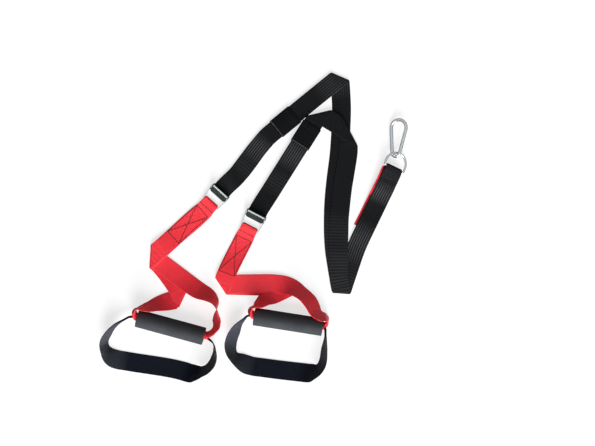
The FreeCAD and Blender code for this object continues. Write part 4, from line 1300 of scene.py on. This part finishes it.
class TRAINER_OT_metalwork(TrainerOperator, bpy.types.Operator):
    """Finish the buckles, the D-ring and the snap hook"""

    bl_idname = "trainer.metalwork"
    bl_label = "Buckles, ring and hook"

    def execute(self, context):
        self.shared(context)
        for side in SIDES:
            for part, finish in (("frame", "frame"), ("cam", side + "_cam"), ("pin", "pin"),
                                 ("spring", "spring")):
                dress(side + "_buckle_" + part, finish)
            self.knurling(side)
        for name in ("d_ring", "snap_hook_body", "snap_hook_gate"):
            dress(name, "wire")
        for name in ("gate_pivot_pin", "gate_latch_pin", "gate_plunger"):
            dress(name, "pin")
        dress("gate_spring", "spring")
        return {"FINISHED"}

    def knurling(self, side, count=15, step=2.5, foot=0.0017, tip=0.0007, tall=0.0010):
        """Blunt teeth along the top of a cam's ridge, which bite when the cam is closed."""
        place = seat(side + "_cam_pivot") * MM
        heading = radians(bearing(side + "_cam_pivot") - 90)
        choose()
        bpy.ops.mesh.primitive_cone_add(vertices=4, radius1=foot, radius2=tip, depth=tall,
                                        location=(0, 0, 0))
        teeth = bpy.context.active_object
        teeth.name = side + "_cam_teeth"
        teeth.scale = (1.0, 0.72, 1.0)
        bpy.ops.object.transform_apply(location=False, rotation=False, scale=True)
        bpy.ops.object.modifier_add(type="ARRAY")
        row = teeth.modifiers[-1]
        row.count = count
        row.use_relative_offset = False
        row.use_constant_offset = True
        row.constant_offset_displace = (0.0, step * MM, 0.0)
        bpy.ops.object.modifier_apply(modifier=row.name)
        offset = Vector((0.0033, -step * MM * (count - 1) / 2, 0.0065))
        teeth.location = place + Matrix.Rotation(heading, 3, "Z") @ offset
        teeth.rotation_euler = (0, 0, heading)
        bpy.ops.object.transform_apply(location=True, rotation=True, scale=True)
        teeth.data.materials.append(FINISHES["wire"])
        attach(teeth, side + "_cam")


WHITE = (1.0, 1.0, 1.0, 1.0)
CAMERA_SHIFT = (0.0866, 0.0083)           # from the middle of the trainer, in plan
FLOOR_GAP = 0.0002                        # from the floor up to the lowest webbing
LAMP_TURN = radians(8)                    # both lamps stand on the grips' side
SIDE_RISE, SIDE_SIZE = radians(9), radians(30)


class TRAINER_OT_stage(bpy.types.Operator):
    """Add the pale floor, the soft lamps and the camera above"""

    bl_idname = "trainer.stage"
    bl_label = "Stage"
    bl_options = {"REGISTER", "UNDO"}

    def execute(self, context):
        settings = context.scene.trainer_stage
        self.floor(context)
        self.lamps(settings)
        self.flags(context)
        self.surround(context.scene, settings)
        self.camera(context.scene, settings)
        context.scene.view_settings.view_transform = "Standard"
        return {"FINISHED"}

    def floor(self, context):
        choose()
        bpy.ops.mesh.primitive_plane_add(size=12.0, location=(0, 0, CAD_BOX[0][2] - FLOOR_GAP))
        floor = context.active_object
        floor.name = "floor"
        material, tree, shader = start_material("floor", 0.9, gloss=0.0)
        seen = node(tree, "ShaderNodeLightPath").outputs["Is Camera Ray"]
        feed(tree, shader, {
            "Base Color": tint(tree, seen, (0.72, 0.72, 0.72), (0.36, 0.36, 0.36)),
            "Emission Color": WHITE,
            "Emission Strength": spread(tree, seen, 0.0, 1.0, 0.0, 0.70)})
        floor.data.materials.append(material)

    def lamps(self, settings):
        lamp = bpy.data.lights.new("key_lamp", "SUN")
        lamp.energy = settings.lamp_level * pi / sin(settings.lamp_rise)
        lamp.angle = settings.lamp_size
        self.hang(lamp, settings.lamp_rise)
        side = bpy.data.lights.new("side_lamp", "SUN")
        side.energy = settings.side_level * pi
        side.angle = SIDE_SIZE
        self.hang(side, SIDE_RISE)

    def hang(self, lamp, rise):
        """Hangs a lamp on the grips' side of the trainer, at an elevation."""
        holder = bpy.data.objects.new(lamp.name, lamp)
        holder.rotation_euler = (pi / 2 - rise, 0, LAMP_TURN)
        bpy.context.scene.collection.objects.link(holder)

    def flags(self, context):
        """A low dark band round the studio that only reflections show, so that bright metal
        has dark edges."""
        choose()
        bpy.ops.mesh.primitive_cylinder_add(vertices=48, radius=3.0, depth=1.0,
                                            end_fill_type="NOTHING", location=(0, 0, 0.95))
        band = context.active_object
        band.name = "dark_band"
        material, tree, shader = start_material("dark_band", 1.0)
        feed(tree, shader, {"Base Color": (0.02, 0.02, 0.022, 1.0)})
        band.data.materials.append(material)
        for ray in ("camera", "diffuse", "shadow", "transmission"):
            setattr(band, "visible_" + ray, False)

    def surround(self, scene, settings):
        world = scene.world or bpy.data.worlds.new("studio")
        scene.world = world
        world.use_nodes = True
        tree = world.node_tree
        path = node(tree, "ShaderNodeLightPath").outputs
        seen = maths(tree, "MAXIMUM", path["Is Camera Ray"], path["Is Transmission Ray"])
        seen = maths(tree, "MAXIMUM", seen, path["Is Glossy Ray"])
        feed(tree, tree.nodes["Background"], {
            "Color": WHITE, "Strength": spread(tree, seen, 0.0, 1.0, settings.surround, 1.0)})

    def camera(self, scene, settings):
        lens = bpy.data.cameras.new("camera")
        lens.lens = settings.lens
        lens.sensor_width = 36.0
        height = settings.view_width * settings.lens / lens.sensor_width
        holder = bpy.data.objects.new("camera", lens)
        x, y = [(low + high) / 2 + shift for low, high, shift in zip(*CAD_BOX, CAMERA_SHIFT)]
        holder.location = (x, y, height)
        scene.collection.objects.link(holder)
        scene.camera = holder


class TRAINER_PT_panel(bpy.types.Panel):
    """The trainer's pieces, one button each"""

    bl_idname = "TRAINER_PT_panel"
    bl_label = "Strap trainer"
    bl_space_type = "VIEW_3D"
    bl_region_type = "UI"
    bl_category = "Trainer"

    def draw(self, context):
        for group, settings in SETTINGS.items():
            box = self.layout.box()
            for name in settings.__annotations__:
                box.prop(getattr(context.scene, group), name)
        column = self.layout.column(align=True)
        for operator in STEPS:
            column.operator(operator.bl_idname)


STEPS = [TRAINER_OT_long_straps, TRAINER_OT_handle_straps, TRAINER_OT_foot_loops,
         TRAINER_OT_keepers, TRAINER_OT_grips, TRAINER_OT_stitching, TRAINER_OT_metalwork,
         TRAINER_OT_stage]


def register():
    for group in list(SETTINGS.values()) + STEPS + [TRAINER_PT_panel]:
        bpy.utils.register_class(group)
    for name, group in SETTINGS.items():
        setattr(bpy.types.Scene, name, bpy.props.PointerProperty(type=group))


def unregister():
    for name in SETTINGS:
        delattr(bpy.types.Scene, name)
    for group in [TRAINER_PT_panel] + STEPS[::-1] + list(SETTINGS.values())[::-1]:
        bpy.utils.unregister_class(group)


def main():
    register()
    for operator in STEPS:
        module, name = operator.bl_idname.split(".")
        getattr(getattr(bpy.ops, module), name)()


if __name__ == "__main__":
    main()
